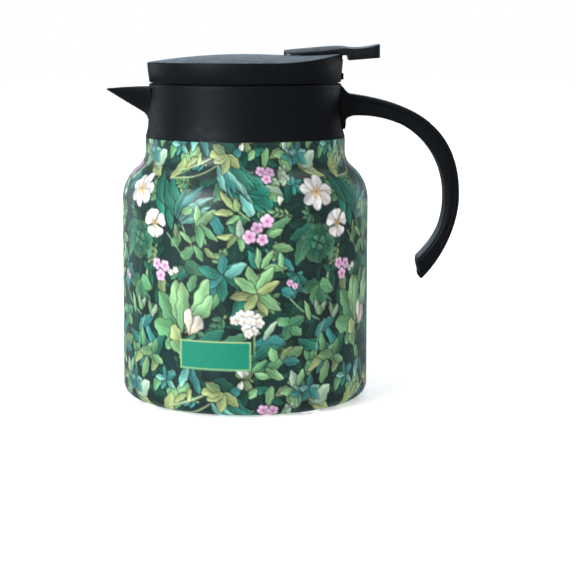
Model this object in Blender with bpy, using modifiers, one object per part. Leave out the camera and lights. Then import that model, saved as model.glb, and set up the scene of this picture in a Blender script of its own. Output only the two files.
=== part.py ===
"""Vacuum-insulated tea jug with a thumb lever.

Metres, +Z up. The origin is the centre of the foot pad's flat underside, on the jug's upright axis.
The spout points along -X and the handle along +X. Each object is one physical piece.
"""

import math

import bmesh
import bpy
from mathutils import Matrix, Vector

MM = 0.001
GAP = 0.3  # clearance between pieces that touch, mm

# Driving dimensions, all in millimetres.
BODY_R = 59.5
NECK_R = 48.3
SHOULDER_Z = 95.5
SHOULDER_R_CONVEX = 20.0
SHOULDER_R_CONCAVE = 10.0
SHELL_WALL = 0.8
VACUUM_OFFSET = 4.0  # from the shell's outside to the liner's outside
LINER_WALL = 0.6
LINER_FLOOR_Z = 7.0
SHELL_FLOOR_Z = 0.3
CORNER_R = 5.6
SHELL_TOP_Z = 134.0
COLLAR_SEAM_Z = 125.4
UPPER_NECK_R = 45.4
MOUTH_R = 43.6
COLLAR_BOTTOM_Z = 125.7
COLLAR_TOP_Z = 151.2
COLLAR_BORE_R = 44.6
SEAT_Z = 138.6  # ledge inside the collar that the stopper stands on

LID_BOTTOM_Z = 151.8
LID_RIM_Z = 160.9
LID_R_BOTTOM = 46.2
LID_R_RIM = 47.3
LID_CREST_Z = 165.2
LID_WALL = 1.6
RAMP_START_X = 13.0
RAMP_END_X = 46.4
RAMP_RISE = 4.3

SPOUT_TIP_X = -66.9
SPOUT_TOP_Z = 149.4
SPOUT_HALF_WIDTH = 13.0

HANDLE_WIDTH = 17.0
COVER_THICKNESS = 2.7

PIVOT_X = 43.0  # lever pin
PIVOT_Z = 161.0
PIN_R = 1.25
STEM_R = 1.8
FORK_Z = 152.6
LEVER_HALF_WIDTH = 8.0
WEB_HALF_WIDTH = 3.6

BASKET_R = 28.0
BASKET_TOP_Z = 121.6
BASKET_FLOOR_Z = 62.0

MAIN_STEPS = 32
SMALL_STEPS = 24

COLLECTION_NAME = "vacuum_tea_jug"
CUTTER_COLLECTION_NAME = "cutters"


# ---------------------------------------------------------------- helpers

def clear_scene():
    for obj in list(bpy.data.objects):
        bpy.data.objects.remove(obj, do_unlink=True)


def new_collection(name):
    collection = bpy.data.collections.new(name)
    bpy.context.scene.collection.children.link(collection)
    return collection


def material(name, color, roughness, metallic=0.0):
    mat = bpy.data.materials.new(name)
    mat.use_nodes = True
    shader = mat.node_tree.nodes["Principled BSDF"]
    shader.inputs["Base Color"].default_value = (*color, 1.0)
    shader.inputs["Roughness"].default_value = roughness
    shader.inputs["Metallic"].default_value = metallic
    return mat


def arc(cx, cz, radius, start_deg, end_deg, count):
    """Points of an arc in the profile plane, both ends included."""
    points = []
    for i in range(count + 1):
        angle = math.radians(start_deg + (end_deg - start_deg) * i / count)
        points.append((cx + radius * math.cos(angle), cz + radius * math.sin(angle)))
    return points


def bezier(p0, p1, p2, p3, count):
    """Points of a cubic Bezier stretch, both ends included."""
    points = []
    for i in range(count + 1):
        t = i / count
        weights = ((1 - t) ** 3, 3 * t * (1 - t) ** 2, 3 * t * t * (1 - t), t ** 3)
        points.append(tuple(sum(w * p[k] for w, p in zip(weights, (p0, p1, p2, p3))) for k in (0, 1)))
    return points


def offset_path(points, distance):
    """An open path moved sideways: positive distances go to the right of its direction."""
    moved = []
    for i, point in enumerate(points):
        before = points[max(i - 1, 0)]
        after = points[min(i + 1, len(points) - 1)]
        dx, dz = after[0] - before[0], after[1] - before[1]
        length = math.hypot(dx, dz)
        moved.append((point[0] + dz / length * distance, point[1] - dx / length * distance))
    return moved


def link(obj, collection, mat=None):
    collection.objects.link(obj)
    if mat:
        obj.data.materials.append(mat)
    return obj


def turned(name, profile, collection, mat=None, steps=MAIN_STEPS):
    """A turned piece from (radius, height) points that run down its outer side.

    A profile that starts and ends on the axis is left open; any other is closed into a ring.
    """
    on_axis = profile[0][0] == 0.0
    verts = [(r * MM, 0.0, z * MM) for r, z in profile]
    edges = [(i, i + 1) for i in range(len(verts) - 1)]
    if not on_axis:
        edges.append((len(verts) - 1, 0))
    mesh = bpy.data.meshes.new(name)
    mesh.from_pydata(verts, edges, [])
    obj = link(bpy.data.objects.new(name, mesh), collection, mat)
    screw = obj.modifiers.new("turn", "SCREW")
    screw.axis = "Z"
    screw.angle = math.tau
    screw.steps = steps
    screw.render_steps = steps
    screw.use_merge_vertices = True
    screw.merge_threshold = 0.000005
    return obj


def baked(obj):
    """Replace an object's mesh or curve by its evaluated mesh, welded."""
    depsgraph = bpy.context.evaluated_depsgraph_get()
    mesh = bpy.data.meshes.new_from_object(obj.evaluated_get(depsgraph))
    edit = bmesh.new()
    edit.from_mesh(mesh)
    bmesh.ops.remove_doubles(edit, verts=edit.verts, dist=0.000005)
    edit.to_mesh(mesh)
    edit.free()
    name = obj.name
    collection = obj.users_collection[0]
    matrix = obj.matrix_world.copy()
    materials = [slot.material for slot in obj.material_slots]
    bpy.data.objects.remove(obj, do_unlink=True)
    mesh.name = name
    new = bpy.data.objects.new(name, mesh)
    collection.objects.link(new)
    new.matrix_world = matrix
    mesh.materials.clear()
    for mat in materials:
        mesh.materials.append(mat)
    return new


def side_plate(name, outline, half_width, collection, mat=None, bevel=0.0, segments=2):
    """A flat outline of (x, z) points, given thickness along Y and bevelled rims."""
    curve = bpy.data.curves.new(name, "CURVE")
    curve.dimensions = "2D"
    curve.fill_mode = "BOTH"
    curve.extrude = half_width * MM
    spline = curve.splines.new("POLY")
    spline.points.add(len(outline) - 1)
    for point, (x, z) in zip(spline.points, outline):
        point.co = (x * MM, z * MM, 0.0, 1.0)
    spline.use_cyclic_u = True
    obj = link(bpy.data.objects.new(name, curve), collection, mat)
    obj.rotation_euler = (math.pi / 2, 0.0, 0.0)
    bpy.context.view_layer.update()
    obj = baked(obj)
    if bevel:
        rim = obj.modifiers.new("rim", "BEVEL")
        rim.width = bevel * MM
        rim.segments = segments
        rim.limit_method = "ANGLE"
        rim.angle_limit = math.radians(60)
    return obj


def box(name, low, high, collection, mat=None):
    mesh = bpy.data.meshes.new(name)
    edit = bmesh.new()
    bmesh.ops.create_cube(edit, size=1.0)
    for vert in edit.verts:
        vert.co = Vector([(low[k] + (vert.co[k] + 0.5) * (high[k] - low[k])) * MM for k in range(3)])
    edit.to_mesh(mesh)
    edit.free()
    return link(bpy.data.objects.new(name, mesh), collection, mat)


def rod_along_y(name, x, z, radius, y_low, y_high, collection, mat=None, steps=SMALL_STEPS):
    mesh = bpy.data.meshes.new(name)
    edit = bmesh.new()
    bmesh.ops.create_cone(edit, cap_ends=True, segments=steps, radius1=radius * MM, radius2=radius * MM,
                          depth=(y_high - y_low) * MM)
    edit.to_mesh(mesh)
    edit.free()
    obj = link(bpy.data.objects.new(name, mesh), collection, mat)
    obj.location = (x * MM, (y_low + y_high) / 2 * MM, z * MM)
    obj.rotation_euler = (math.pi / 2, 0.0, 0.0)
    return obj


def hull(name, points, collection):
    """The convex hull of (x, y, z) points, for lofts between unlike sections."""
    mesh = bpy.data.meshes.new(name)
    edit = bmesh.new()
    verts = [edit.verts.new(Vector(p) * MM) for p in points]
    result = bmesh.ops.convex_hull(edit, input=verts)
    loose = [v for v in result["geom_interior"] if isinstance(v, bmesh.types.BMVert)]
    bmesh.ops.delete(edit, geom=loose, context="VERTS")
    bmesh.ops.recalc_face_normals(edit, faces=edit.faces)
    edit.to_mesh(mesh)
    edit.free()
    return link(bpy.data.objects.new(name, mesh), collection)


def as_tool(obj):
    obj.hide_render = True
    obj.display_type = "WIRE"
    return obj


def combine(obj, tool, operation):
    modifier = obj.modifiers.new(f"{operation.lower()}_{tool.name}", "BOOLEAN")
    modifier.operation = operation
    modifier.object = as_tool(tool)
    modifier.solver = "EXACT"


def smooth(obj, angle_deg=40):
    obj.data.shade_smooth()
    obj.data.set_sharp_from_angle(angle=math.radians(angle_deg))


# ---------------------------------------------------------------- shared shapes

def shoulder(offset, neck_r, count_concave, count_convex):
    """Neck, concave arc and convex arc down to the straight wall, at an inward offset."""
    convex_r = SHOULDER_R_CONVEX - offset
    concave_r = SHOULDER_R_CONCAVE + offset
    convex_x = BODY_R - SHOULDER_R_CONVEX
    concave_x = neck_r + concave_r
    reach = convex_r + concave_r
    concave_z = SHOULDER_Z + math.sqrt(reach ** 2 - (concave_x - convex_x) ** 2)
    slope = math.degrees(math.atan2(concave_z - SHOULDER_Z, concave_x - convex_x))
    upper = arc(concave_x, concave_z, concave_r, 180, 180 + slope, count_concave)
    lower = arc(convex_x, SHOULDER_Z, convex_r, slope, 0, count_convex)
    return upper + lower[1:]


def corner(offset, floor_z, radius, count):
    """The rounded corner from the wall to the floor."""
    return arc(BODY_R - offset - radius, floor_z + radius, radius, 0, -90, count)


def handle_outer_path():
    upper = bezier((52.3, 146.0), (74.4, 142.7), (103.4, 134.9), (103.4, 97.4), 12)
    lower = bezier((103.4, 97.4), (103.4, 83.7), (96.6, 67.9), (86.0, 57.0), 8)
    return upper + lower[1:]


def handle_inner_path():
    upper = bezier((52.3, 136.0), (80.0, 137.3), (97.4, 118.7), (97.4, 96.0), 12)
    lower = bezier((97.4, 96.0), (97.4, 83.1), (93.6, 75.4), (84.1, 66.7), 6)
    return upper + lower[1:]


def collar_outer_profile():
    return [(45.8, COLLAR_TOP_Z), (46.3, 150.6), (46.5, 149.2), (46.7, 137.0), (47.1, 131.0),
            (47.8, 127.4), (48.3, COLLAR_BOTTOM_Z)]


# ---------------------------------------------------------------- flask

def make_outer_shell(col, mats):
    outer = [(UPPER_NECK_R, SHELL_TOP_Z), (UPPER_NECK_R, COLLAR_SEAM_Z), (NECK_R - 0.6, COLLAR_SEAM_Z),
             (NECK_R, COLLAR_SEAM_Z - 0.6)]
    outer += shoulder(0.0, NECK_R, 4, 6)
    outer += corner(0.0, SHELL_FLOOR_Z, CORNER_R, 4)
    outer.append((46.4, SHELL_FLOOR_Z))
    wall = SHELL_WALL
    inner = [(UPPER_NECK_R - wall, SHELL_TOP_Z), (UPPER_NECK_R - wall, COLLAR_SEAM_Z - wall),
             (NECK_R - wall, COLLAR_SEAM_Z - wall - 0.2)]
    inner += shoulder(wall, NECK_R - wall, 4, 5)
    inner += corner(wall, SHELL_FLOOR_Z + wall, CORNER_R - wall, 4)
    inner.append((46.4, SHELL_FLOOR_Z + wall))
    return turned("outer_shell", outer + inner[::-1], col, mats["printed_steel"])


def make_inner_liner(col, mats):
    wall = LINER_WALL
    neck = MOUTH_R + wall
    lip_z = SHELL_TOP_Z + GAP
    corner_r = 12.0
    offset = VACUUM_OFFSET
    outer = [(UPPER_NECK_R, lip_z + wall), (UPPER_NECK_R, lip_z), (neck, lip_z)]
    outer += shoulder(offset, neck, 3, 4)
    outer += corner(offset, LINER_FLOOR_Z, corner_r, 4)
    outer.append((0.0, LINER_FLOOR_Z))
    inner = [(MOUTH_R, lip_z + wall)]
    inner += shoulder(offset + wall, MOUTH_R, 3, 4)
    inner += corner(offset + wall, LINER_FLOOR_Z + wall, corner_r - wall, 4)
    inner.append((0.0, LINER_FLOOR_Z + wall))
    return turned("inner_liner", inner[::-1] + outer, col, mats["steel"])


def make_base_plate(col, mats):
    profile = [(50.0, 2.5), (50.0, 1.7), (9.0, 1.7), (7.6, 3.0), (1.0, 3.0), (1.0, 3.8), (7.1, 3.8), (8.5, 2.5)]
    return turned("base_plate", profile, col, mats["steel"])


def make_vacuum_seal(col, mats):
    profile = [(0.0, 2.7), (5.6, 2.7), (6.0, 2.3), (5.6, 1.9), (0.0, 1.9)]
    return turned("vacuum_seal", profile, col, mats["seal_glass"], SMALL_STEPS)


def make_getter(col, mats):
    profile = [(0.0, 6.7), (4.0, 6.7), (4.5, 6.2), (4.5, 5.4), (4.0, 4.9), (0.0, 4.9)]
    return turned("getter", profile, col, mats["steel"], SMALL_STEPS)


def make_base_pad(col, mats):
    profile = [(0.0, 1.4), (46.1, 1.4), (46.1, 0.5), (45.6, 0.0), (0.0, 0.0)]
    return turned("base_pad", profile, col, mats["pad_rubber"])


def make_neck_gasket(col, mats):
    low = SHELL_TOP_Z + GAP + LINER_WALL + GAP
    profile = [(45.2, low + 0.8), (45.2, low), (44.0, low), (44.0, low + 0.8)]
    return turned("neck_gasket", profile, col, mats["silicone"])


# ---------------------------------------------------------------- collar, spout and handle

def make_collar(col, tools, mats):
    ledge_z = 136.3
    inner = [(UPPER_NECK_R + GAP, COLLAR_BOTTOM_Z), (UPPER_NECK_R + GAP, ledge_z), (MOUTH_R, ledge_z),
             (MOUTH_R, SEAT_Z), (COLLAR_BORE_R, SEAT_Z), (COLLAR_BORE_R, 150.4), (45.2, COLLAR_TOP_Z)]
    collar = turned("collar", collar_outer_profile() + inner, col, mats["black_plastic"])
    half = SPOUT_HALF_WIDTH
    tip = SPOUT_TIP_X
    top = SPOUT_TOP_Z
    beak = hull("spout_outside", [
        (tip, 0.7, top - 0.7), (tip, -0.7, top - 0.7), (tip, 0.0, top - 1.4),
        (-44.3, half, top), (-44.3, -half, top), (-45.5, half - 3.0, 141.0), (-45.5, 3.0 - half, 141.0),
        (-46.0, 2.0, 135.2), (-46.0, -2.0, 135.2)], tools)
    combine(collar, beak, "UNION")
    trough = hull("spout_inside", [
        (tip + 2.4, 0.4, top + 1.0), (tip + 2.4, -0.4, top + 1.0),
        (-46.3, half - 1.9, top + 1.0), (-46.3, 1.9 - half, top + 1.0),
        (-46.3, half - 4.6, 141.8), (-46.3, 4.6 - half, 141.8), (-49.9, 0.4, 140.4), (-49.9, -0.4, 140.4)], tools)
    combine(collar, trough, "DIFFERENCE")
    window = hull("spout_window", [
        (-40.0, 9.0, 148.0), (-40.0, -9.0, 148.0), (-48.6, 9.0, 148.0), (-48.6, -9.0, 148.0),
        (-40.0, 6.6, 140.2), (-40.0, -6.6, 140.2), (-48.6, 6.6, 140.2), (-48.6, -6.6, 140.2)], tools)
    combine(collar, window, "DIFFERENCE")
    return collar


def make_handle(col, tools, mats):
    outer = handle_outer_path()
    bed = offset_path(outer, COVER_THICKNESS + GAP)
    root = [(44.0, 131.4), (47.6, 132.6), (49.6, 135.0)]
    end = [(83.4, 64.8), (83.5, 60.4)]
    shelf = [(51.5, bed[0][1]), (51.5, 145.9), (47.4, 150.0), (44.0, 150.0)]
    outline = root + handle_inner_path() + end + bed[::-1] + shelf
    arm = side_plate("handle_arm", outline, HANDLE_WIDTH / 2, col, mats["black_plastic"], bevel=1.3)
    saddle = turned("handle_saddle", [(0.0, 155.0), (46.4, 155.0)]
                    + [(r + GAP, z) for r, z in collar_outer_profile()] + [(48.3 + GAP, 120.0), (0.0, 120.0)],
                    tools)
    combine(arm, saddle, "DIFFERENCE")

    strip = offset_path(outer, COVER_THICKNESS)
    tip = [(85.2, 56.2), (84.5, 56.2)]
    cover = side_plate("handle_cover", outer + tip + strip[::-1], HANDLE_WIDTH / 2, col,
                       mats["black_plastic"], bevel=1.0)
    return arm, cover


# ---------------------------------------------------------------- lid

def make_lid_gasket(col, mats):
    profile = [(43.3, 131.7), (43.3, 130.7), (42.7, 130.1), (43.3, 129.5), (43.3, 128.5),
               (41.9, 128.5), (41.9, 131.7)]
    return turned("lid_gasket", profile, col, mats["silicone"])


def make_lid_body(col, tools, mats):
    profile = [
        (44.3, 156.5), (44.3, 151.5), (44.2, 151.5), (44.2, SEAT_Z + GAP), (42.9, SEAT_Z + GAP),
        (42.9, 132.0), (41.6, 132.0), (41.6, 128.2), (42.9, 128.2), (42.9, 126.5), (42.3, 126.0),
        (9.5, 126.0), (8.5, 127.0), (9.5, 128.0), (39.6, 128.0), (39.6, 137.4), (42.2, 140.0),
        (42.2, 148.4), (6.2, 148.4), (6.2, 144.8), (2.2, 144.8), (2.2, 146.3), (4.5, 146.3),
        (4.5, 150.0), (42.4, 150.0), (42.4, 156.5)]
    stopper = turned("lid_body", profile, col, mats["black_plastic"])
    outlet = box("outlet_window", (-50.0, -10.0, 140.2), (-36.0, 10.0, 148.0), tools)
    combine(stopper, outlet, "DIFFERENCE")
    return stopper


def ramp(x):
    """How far the lid's top rises at x towards the lever's hinge."""
    t = min(max((x - RAMP_START_X) / (RAMP_END_X - RAMP_START_X), 0.0), 1.0)
    return RAMP_RISE * t * t


def dome(r, crest_z):
    return crest_z - (LID_CREST_Z - LID_RIM_Z - 0.4) * (r / LID_R_RIM) ** 2


def make_lid_cover(col, tools, mats):
    rings = [0.0, 10.0, 19.0, 26.0, 32.0, 38.0, 43.0]
    wall = LID_WALL
    outer = [(r, dome(r, LID_CREST_Z)) for r in rings] + [(46.3, dome(46.3, LID_CREST_Z) - 0.1),
             (LID_R_RIM, LID_RIM_Z - 0.5), (LID_R_BOTTOM, LID_BOTTOM_Z)]
    inner = [(r, dome(r, LID_CREST_Z - wall)) for r in rings] + [
        (LID_R_RIM - wall, LID_RIM_Z - wall), (LID_R_BOTTOM - wall, LID_BOTTOM_Z)]
    cover = turned("lid_cover", outer + inner[::-1], col, mats["black_plastic"])
    bpy.context.view_layer.update()
    cover = baked(cover)
    for vert in cover.data.vertices:
        share = (vert.co.z / MM - LID_BOTTOM_Z) / (LID_RIM_Z - LID_BOTTOM_Z - wall)
        vert.co.z += ramp(vert.co.x / MM) * min(max(share, 0.0), 1.0) * MM

    combine(cover, box("rear_tab", (45.2, -4.0, 153.0), (47.3, 4.0, 156.0), tools), "UNION")
    for side, name in ((-1, "cheek_right"), (1, "cheek_left")):
        low, high = sorted((side * 4.3, side * 8.4))
        combine(cover, box(name, (40.0, low, 158.4), (45.0, high, 164.8), tools), "UNION")
    combine(cover, box("lever_slot", (22.6, -4.0, 155.6), (45.7, 4.0, 175.0), tools), "DIFFERENCE")
    combine(cover, box("lever_notch", (45.2, -8.6, 162.7), (55.0, 8.6, 175.0), tools), "DIFFERENCE")
    bore = rod_along_y("pin_bore", PIVOT_X, PIVOT_Z, PIN_R + GAP, -12.0, 12.0, tools)
    combine(cover, bore, "DIFFERENCE")
    return cover


def make_lever(col, tools, mats):
    top = [(18.7, 166.2), (19.4, 166.8), (30.7, 168.2), (40.0, 169.0), (44.7, 169.2), (47.5, 168.9),
           (50.3, 168.6), (54.1, 168.6), (58.7, 169.1), (62.0, 169.75), (64.2, 170.1), (64.7, 169.6)]
    pad = [(64.7, 163.6), (64.2, 163.2), (50.2, 162.2), (49.8, 164.0), (45.7, 164.0), (45.7, 166.4)]
    under = [(x, dome(x, LID_CREST_Z) + ramp(x) + 0.45) for x in (44.0, 40.0, 36.0, 32.0, 28.0, 24.0, 18.9)]
    plate = side_plate("lever", top + pad + under, LEVER_HALF_WIDTH, col, mats["black_plastic"], bevel=0.7,
                       segments=2)
    web_outline = [(27.0, 166.2), (24.4, 158.6), (6.0, 153.5)]
    web_outline += arc(0.0, FORK_Z, 1.1, 90, 270, 6)
    web_outline += [(8.0, FORK_Z - 1.1), (34.0, 152.4), (40.6, 157.4)]
    web_outline += arc(PIVOT_X, PIVOT_Z, 2.4, -120, 0, 5)
    web_outline += [(45.4, 165.0), (45.2, 167.0)]
    web = side_plate("lever_web", web_outline[::-1], WEB_HALF_WIDTH, tools)
    combine(plate, web, "UNION")
    combine(plate, box("fork_gap", (-4.0, -2.2, 150.0), (3.6, 2.2, 156.0), tools), "DIFFERENCE")
    combine(plate, box("pad_pocket", (51.6, -6.4, 160.0), (63.1, 6.4, 166.6), tools), "DIFFERENCE")
    bore = rod_along_y("lever_bore", PIVOT_X, PIVOT_Z, PIN_R + GAP, -6.0, 6.0, tools)
    combine(plate, bore, "DIFFERENCE")
    set_origin(plate, PIVOT_X, PIVOT_Z)
    return plate


def set_origin(obj, x, z):
    """Put an object's origin on its joint's axis without moving its shape."""
    bpy.context.view_layer.update()
    world = obj.matrix_world.copy()
    target = Vector((x * MM, 0.0, z * MM))
    obj.data.transform(world)
    obj.data.transform(Matrix.Translation(-target))
    obj.matrix_world = Matrix.Translation(target)


def make_lever_pin(col, mats):
    return rod_along_y("lever_pin", PIVOT_X, PIVOT_Z, PIN_R, -10.0, 10.0, col, mats["steel"])


# ---------------------------------------------------------------- valve

def make_stem_seal(col, mats):
    profile = [(4.2, 147.9), (4.2, 146.8), (3.7, 146.6), (2.5, 146.6), (2.1, 146.8), (2.1, 147.9), (2.5, 148.1),
               (3.7, 148.1)]
    return turned("stem_seal", profile, col, mats["silicone"], SMALL_STEPS)


def make_seal_cap(col, mats):
    profile = [(6.0, 151.2), (6.0, 150.3), (4.2, 150.3), (4.2, 148.4), (2.2, 148.4), (2.2, 151.2)]
    return turned("seal_cap", profile, col, mats["black_plastic"], SMALL_STEPS)


def make_valve_stem(col, mats):
    profile = [(0.0, 155.0), (1.5, 155.0), (STEM_R, 154.7), (STEM_R, 126.3), (4.2, 126.3), (4.2, 125.4),
               (3.8, 125.2), (0.0, 125.2)]
    return turned("valve_stem", profile, col, mats["steel"], SMALL_STEPS)


def make_stem_head(col, mats):
    profile = [(0.0, 156.4), (4.2, 156.4), (5.0, 155.7), (5.0, 154.0), (2.1, 154.0), (2.1, 155.3), (0.0, 155.3)]
    return turned("stem_head", profile, col, mats["black_plastic"], SMALL_STEPS)


def make_valve_plug(col, mats):
    profile = [(10.4, 133.5), (11.6, 132.3), (11.6, 128.9), (11.0, 128.3), (9.0, 128.3), (8.0, 127.4),
               (8.0, 126.9), (7.4, 126.6), (2.1, 126.6), (2.1, 133.5)]
    return turned("valve_plug", profile, col, mats["silicone"], SMALL_STEPS)


def make_plug_washer(col, mats):
    profile = [(6.4, 134.5), (6.4, 133.8), (2.1, 133.8), (2.1, 134.5)]
    return turned("plug_washer", profile, col, mats["steel"], SMALL_STEPS)


def make_valve_spring(col, mats):
    """A coil with its end turns closed flat."""
    wire_r = 0.3
    coil_r = 4.4
    low = 134.8 + wire_r
    high = 144.5 - wire_r
    turns = 6.0
    per_turn = 12
    count = int(turns * per_turn)
    curve = bpy.data.curves.new("valve_spring", "CURVE")
    curve.dimensions = "3D"
    curve.bevel_depth = wire_r * MM
    curve.bevel_resolution = 1
    curve.use_fill_caps = True
    spline = curve.splines.new("POLY")
    spline.points.add(count)
    pitch_end = 2 * wire_r + 0.15
    active = high - low - 2 * pitch_end
    for i, point in enumerate(spline.points):
        turn = i / per_turn
        if turn < 1.0:
            z = low + pitch_end * turn
        elif turn > turns - 1.0:
            z = high - pitch_end * (turns - turn)
        else:
            z = low + pitch_end + active * (turn - 1.0) / (turns - 2.0)
        angle = math.tau * turn
        point.co = (coil_r * math.cos(angle) * MM, coil_r * math.sin(angle) * MM, z * MM, 1.0)
    spring = link(bpy.data.objects.new("valve_spring", curve), col, mats["steel"])
    bpy.context.view_layer.update()
    return baked(spring)


# ---------------------------------------------------------------- infuser

def make_infuser_rim(col, mats):
    profile = [(33.0, 125.7), (33.0, 124.5), (30.6, 124.0), (30.6, 119.6), (29.0, 119.6), (29.0, 122.0),
               (26.4, 122.0), (26.4, 125.7)]
    return turned("infuser_rim", profile, col, mats["black_plastic"])


def make_infuser_basket(col, tools, mats):
    wall = 0.6
    outer = [(BASKET_R + 0.6, BASKET_TOP_Z), (BASKET_R + 0.6, BASKET_TOP_Z - 0.8),
             (BASKET_R, BASKET_TOP_Z - 1.4), (BASKET_R - 1.0, BASKET_FLOOR_Z + 4.0),
             (BASKET_R - 5.0, BASKET_FLOOR_Z), (0.0, BASKET_FLOOR_Z)]
    inner = [(BASKET_R - wall, BASKET_TOP_Z), (BASKET_R - 1.0 - wall, BASKET_FLOOR_Z + 4.2),
             (BASKET_R - 5.2, BASKET_FLOOR_Z + wall), (0.0, BASKET_FLOOR_Z + wall)]
    basket = turned("infuser_basket", inner[::-1] + outer, col, mats["steel"])
    for i in range(6):
        blade = box(f"slot_{i}", (-40.0, -1.2, 72.0), (40.0, 1.2, 112.0), tools)
        blade.rotation_euler = (0.0, 0.0, math.pi * (i + 0.5) / 6)
        combine(basket, blade, "DIFFERENCE")
    return basket


# ---------------------------------------------------------------- assembly

def make_materials():
    return {
        "printed_steel": material("printed_steel", (0.03, 0.14, 0.12), 0.42),
        "steel": material("steel", (0.60, 0.60, 0.59), 0.28, 1.0),
        "black_plastic": material("black_plastic", (0.010, 0.012, 0.015), 0.55),
        "silicone": material("silicone", (0.62, 0.62, 0.60), 0.60),
        "pad_rubber": material("pad_rubber", (0.02, 0.02, 0.02), 0.75),
        "seal_glass": material("seal_glass", (0.16, 0.13, 0.09), 0.30),
    }


def main():
    clear_scene()
    col = new_collection(COLLECTION_NAME)
    tools = new_collection(CUTTER_COLLECTION_NAME)
    mats = make_materials()

    make_outer_shell(col, mats)
    make_inner_liner(col, mats)
    make_base_plate(col, mats)
    make_vacuum_seal(col, mats)
    make_getter(col, mats)
    make_base_pad(col, mats)
    make_neck_gasket(col, mats)
    make_collar(col, tools, mats)
    make_handle(col, tools, mats)

    make_lid_gasket(col, mats)
    make_lid_body(col, tools, mats)
    make_lid_cover(col, tools, mats)
    make_lever(col, tools, mats)
    make_lever_pin(col, mats)

    make_stem_seal(col, mats)
    make_seal_cap(col, mats)
    make_valve_stem(col, mats)
    make_stem_head(col, mats)
    make_valve_plug(col, mats)
    make_plug_washer(col, mats)
    make_valve_spring(col, mats)

    make_infuser_rim(col, mats)
    make_infuser_basket(col, tools, mats)

    for obj in col.objects:
        smooth(obj)


main()
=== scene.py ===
"""The looks of a vacuum tea jug: printed steel body, black plastic collar, lid, lever and handle.

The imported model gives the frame. Pieces that show are built again here with fine curves and edges and ride
on the same bodies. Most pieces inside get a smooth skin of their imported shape. Lengths in the builders are
millimetres, and MM turns them into metres.
"""

import math

import bmesh
import bpy
import numpy as np
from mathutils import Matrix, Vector


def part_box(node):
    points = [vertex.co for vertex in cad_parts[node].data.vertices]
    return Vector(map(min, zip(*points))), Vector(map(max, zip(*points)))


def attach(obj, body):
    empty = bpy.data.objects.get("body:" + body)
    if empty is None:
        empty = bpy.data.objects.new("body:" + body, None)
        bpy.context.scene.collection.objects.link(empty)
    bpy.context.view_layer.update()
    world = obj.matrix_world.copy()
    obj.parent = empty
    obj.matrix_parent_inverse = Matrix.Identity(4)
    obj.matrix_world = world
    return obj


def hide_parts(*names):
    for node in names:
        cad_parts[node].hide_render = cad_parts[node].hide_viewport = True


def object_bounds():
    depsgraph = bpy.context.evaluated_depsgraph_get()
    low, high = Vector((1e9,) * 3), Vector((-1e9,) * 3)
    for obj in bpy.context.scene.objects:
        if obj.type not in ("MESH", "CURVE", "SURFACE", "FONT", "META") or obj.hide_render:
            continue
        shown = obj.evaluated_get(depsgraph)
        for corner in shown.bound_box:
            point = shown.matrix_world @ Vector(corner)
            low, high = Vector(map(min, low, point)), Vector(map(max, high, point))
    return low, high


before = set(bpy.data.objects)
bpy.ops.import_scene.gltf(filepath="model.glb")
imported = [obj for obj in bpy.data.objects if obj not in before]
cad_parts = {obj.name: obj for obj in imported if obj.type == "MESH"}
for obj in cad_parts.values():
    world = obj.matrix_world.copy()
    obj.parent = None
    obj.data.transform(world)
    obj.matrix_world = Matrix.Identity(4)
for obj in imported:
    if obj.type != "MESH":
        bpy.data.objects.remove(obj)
CAD_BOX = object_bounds()

MM = 0.001
FINE_STEPS = 160  # flats round a turned piece
WELD = 0.000002  # metres; points closer than this become one

# ---- sizes taken from the frame, in mm

SHELL_LOW, SHELL_HIGH = (corner_point / MM for corner_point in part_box("outer_shell"))
COLLAR_LOW, COLLAR_HIGH = (corner_point / MM for corner_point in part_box("collar"))
COVER_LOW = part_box("lid_cover")[0] / MM
LEVER_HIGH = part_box("lever")[1] / MM
PIN_LOW, PIN_HIGH = (corner_point / MM for corner_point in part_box("lever_pin"))

BODY_R = SHELL_HIGH.x
SHELL_FLOOR_Z = SHELL_LOW.z
SHELL_TOP_Z = SHELL_HIGH.z
COLLAR_BOTTOM_Z = COLLAR_LOW.z
COLLAR_TOP_Z = COLLAR_HIGH.z
SPOUT_TIP_X = COLLAR_LOW.x
LID_BOTTOM_Z = COVER_LOW.z
PIVOT_X = (PIN_LOW.x + PIN_HIGH.x) / 2
PIVOT_Z = (PIN_LOW.z + PIN_HIGH.z) / 2
LEVER_HALF_WIDTH = LEVER_HIGH.y

# ---- the body's outline, as in the design

NECK_R = 48.3
SHOULDER_Z = 95.5
SHOULDER_R_CONVEX = 20.0
SHOULDER_R_CONCAVE = 10.0
CORNER_R = 5.6
SHELL_WALL = 0.8
UPPER_NECK_R = 45.4
SEAM_Z = COLLAR_BOTTOM_Z - 0.3


def arc(cx, cz, radius, start_deg, end_deg, count):
    """Points of an arc, both ends included."""
    angles = [math.radians(start_deg + (end_deg - start_deg) * i / count) for i in range(count + 1)]
    return [(cx + radius * math.cos(a), cz + radius * math.sin(a)) for a in angles]


def bezier(p0, p1, p2, p3, count):
    """Points of a cubic Bezier stretch, both ends included."""
    points = []
    for i in range(count + 1):
        t = i / count
        weights = ((1 - t) ** 3, 3 * t * (1 - t) ** 2, 3 * t * t * (1 - t), t ** 3)
        points.append(tuple(sum(w * p[k] for w, p in zip(weights, (p0, p1, p2, p3))) for k in (0, 1)))
    return points


def smooth_path(points, count):
    """A Catmull-Rom curve through the points, with count steps between neighbours."""
    path = []
    for i in range(len(points) - 1):
        p0 = points[max(i - 1, 0)]
        p1, p2 = points[i], points[i + 1]
        p3 = points[min(i + 2, len(points) - 1)]
        handles = (p1, tuple(p1[k] + (p2[k] - p0[k]) / 6 for k in (0, 1)),
                   tuple(p2[k] - (p3[k] - p1[k]) / 6 for k in (0, 1)), p2)
        path += bezier(*handles, count)[:-1]
    return path + [points[-1]]


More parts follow.
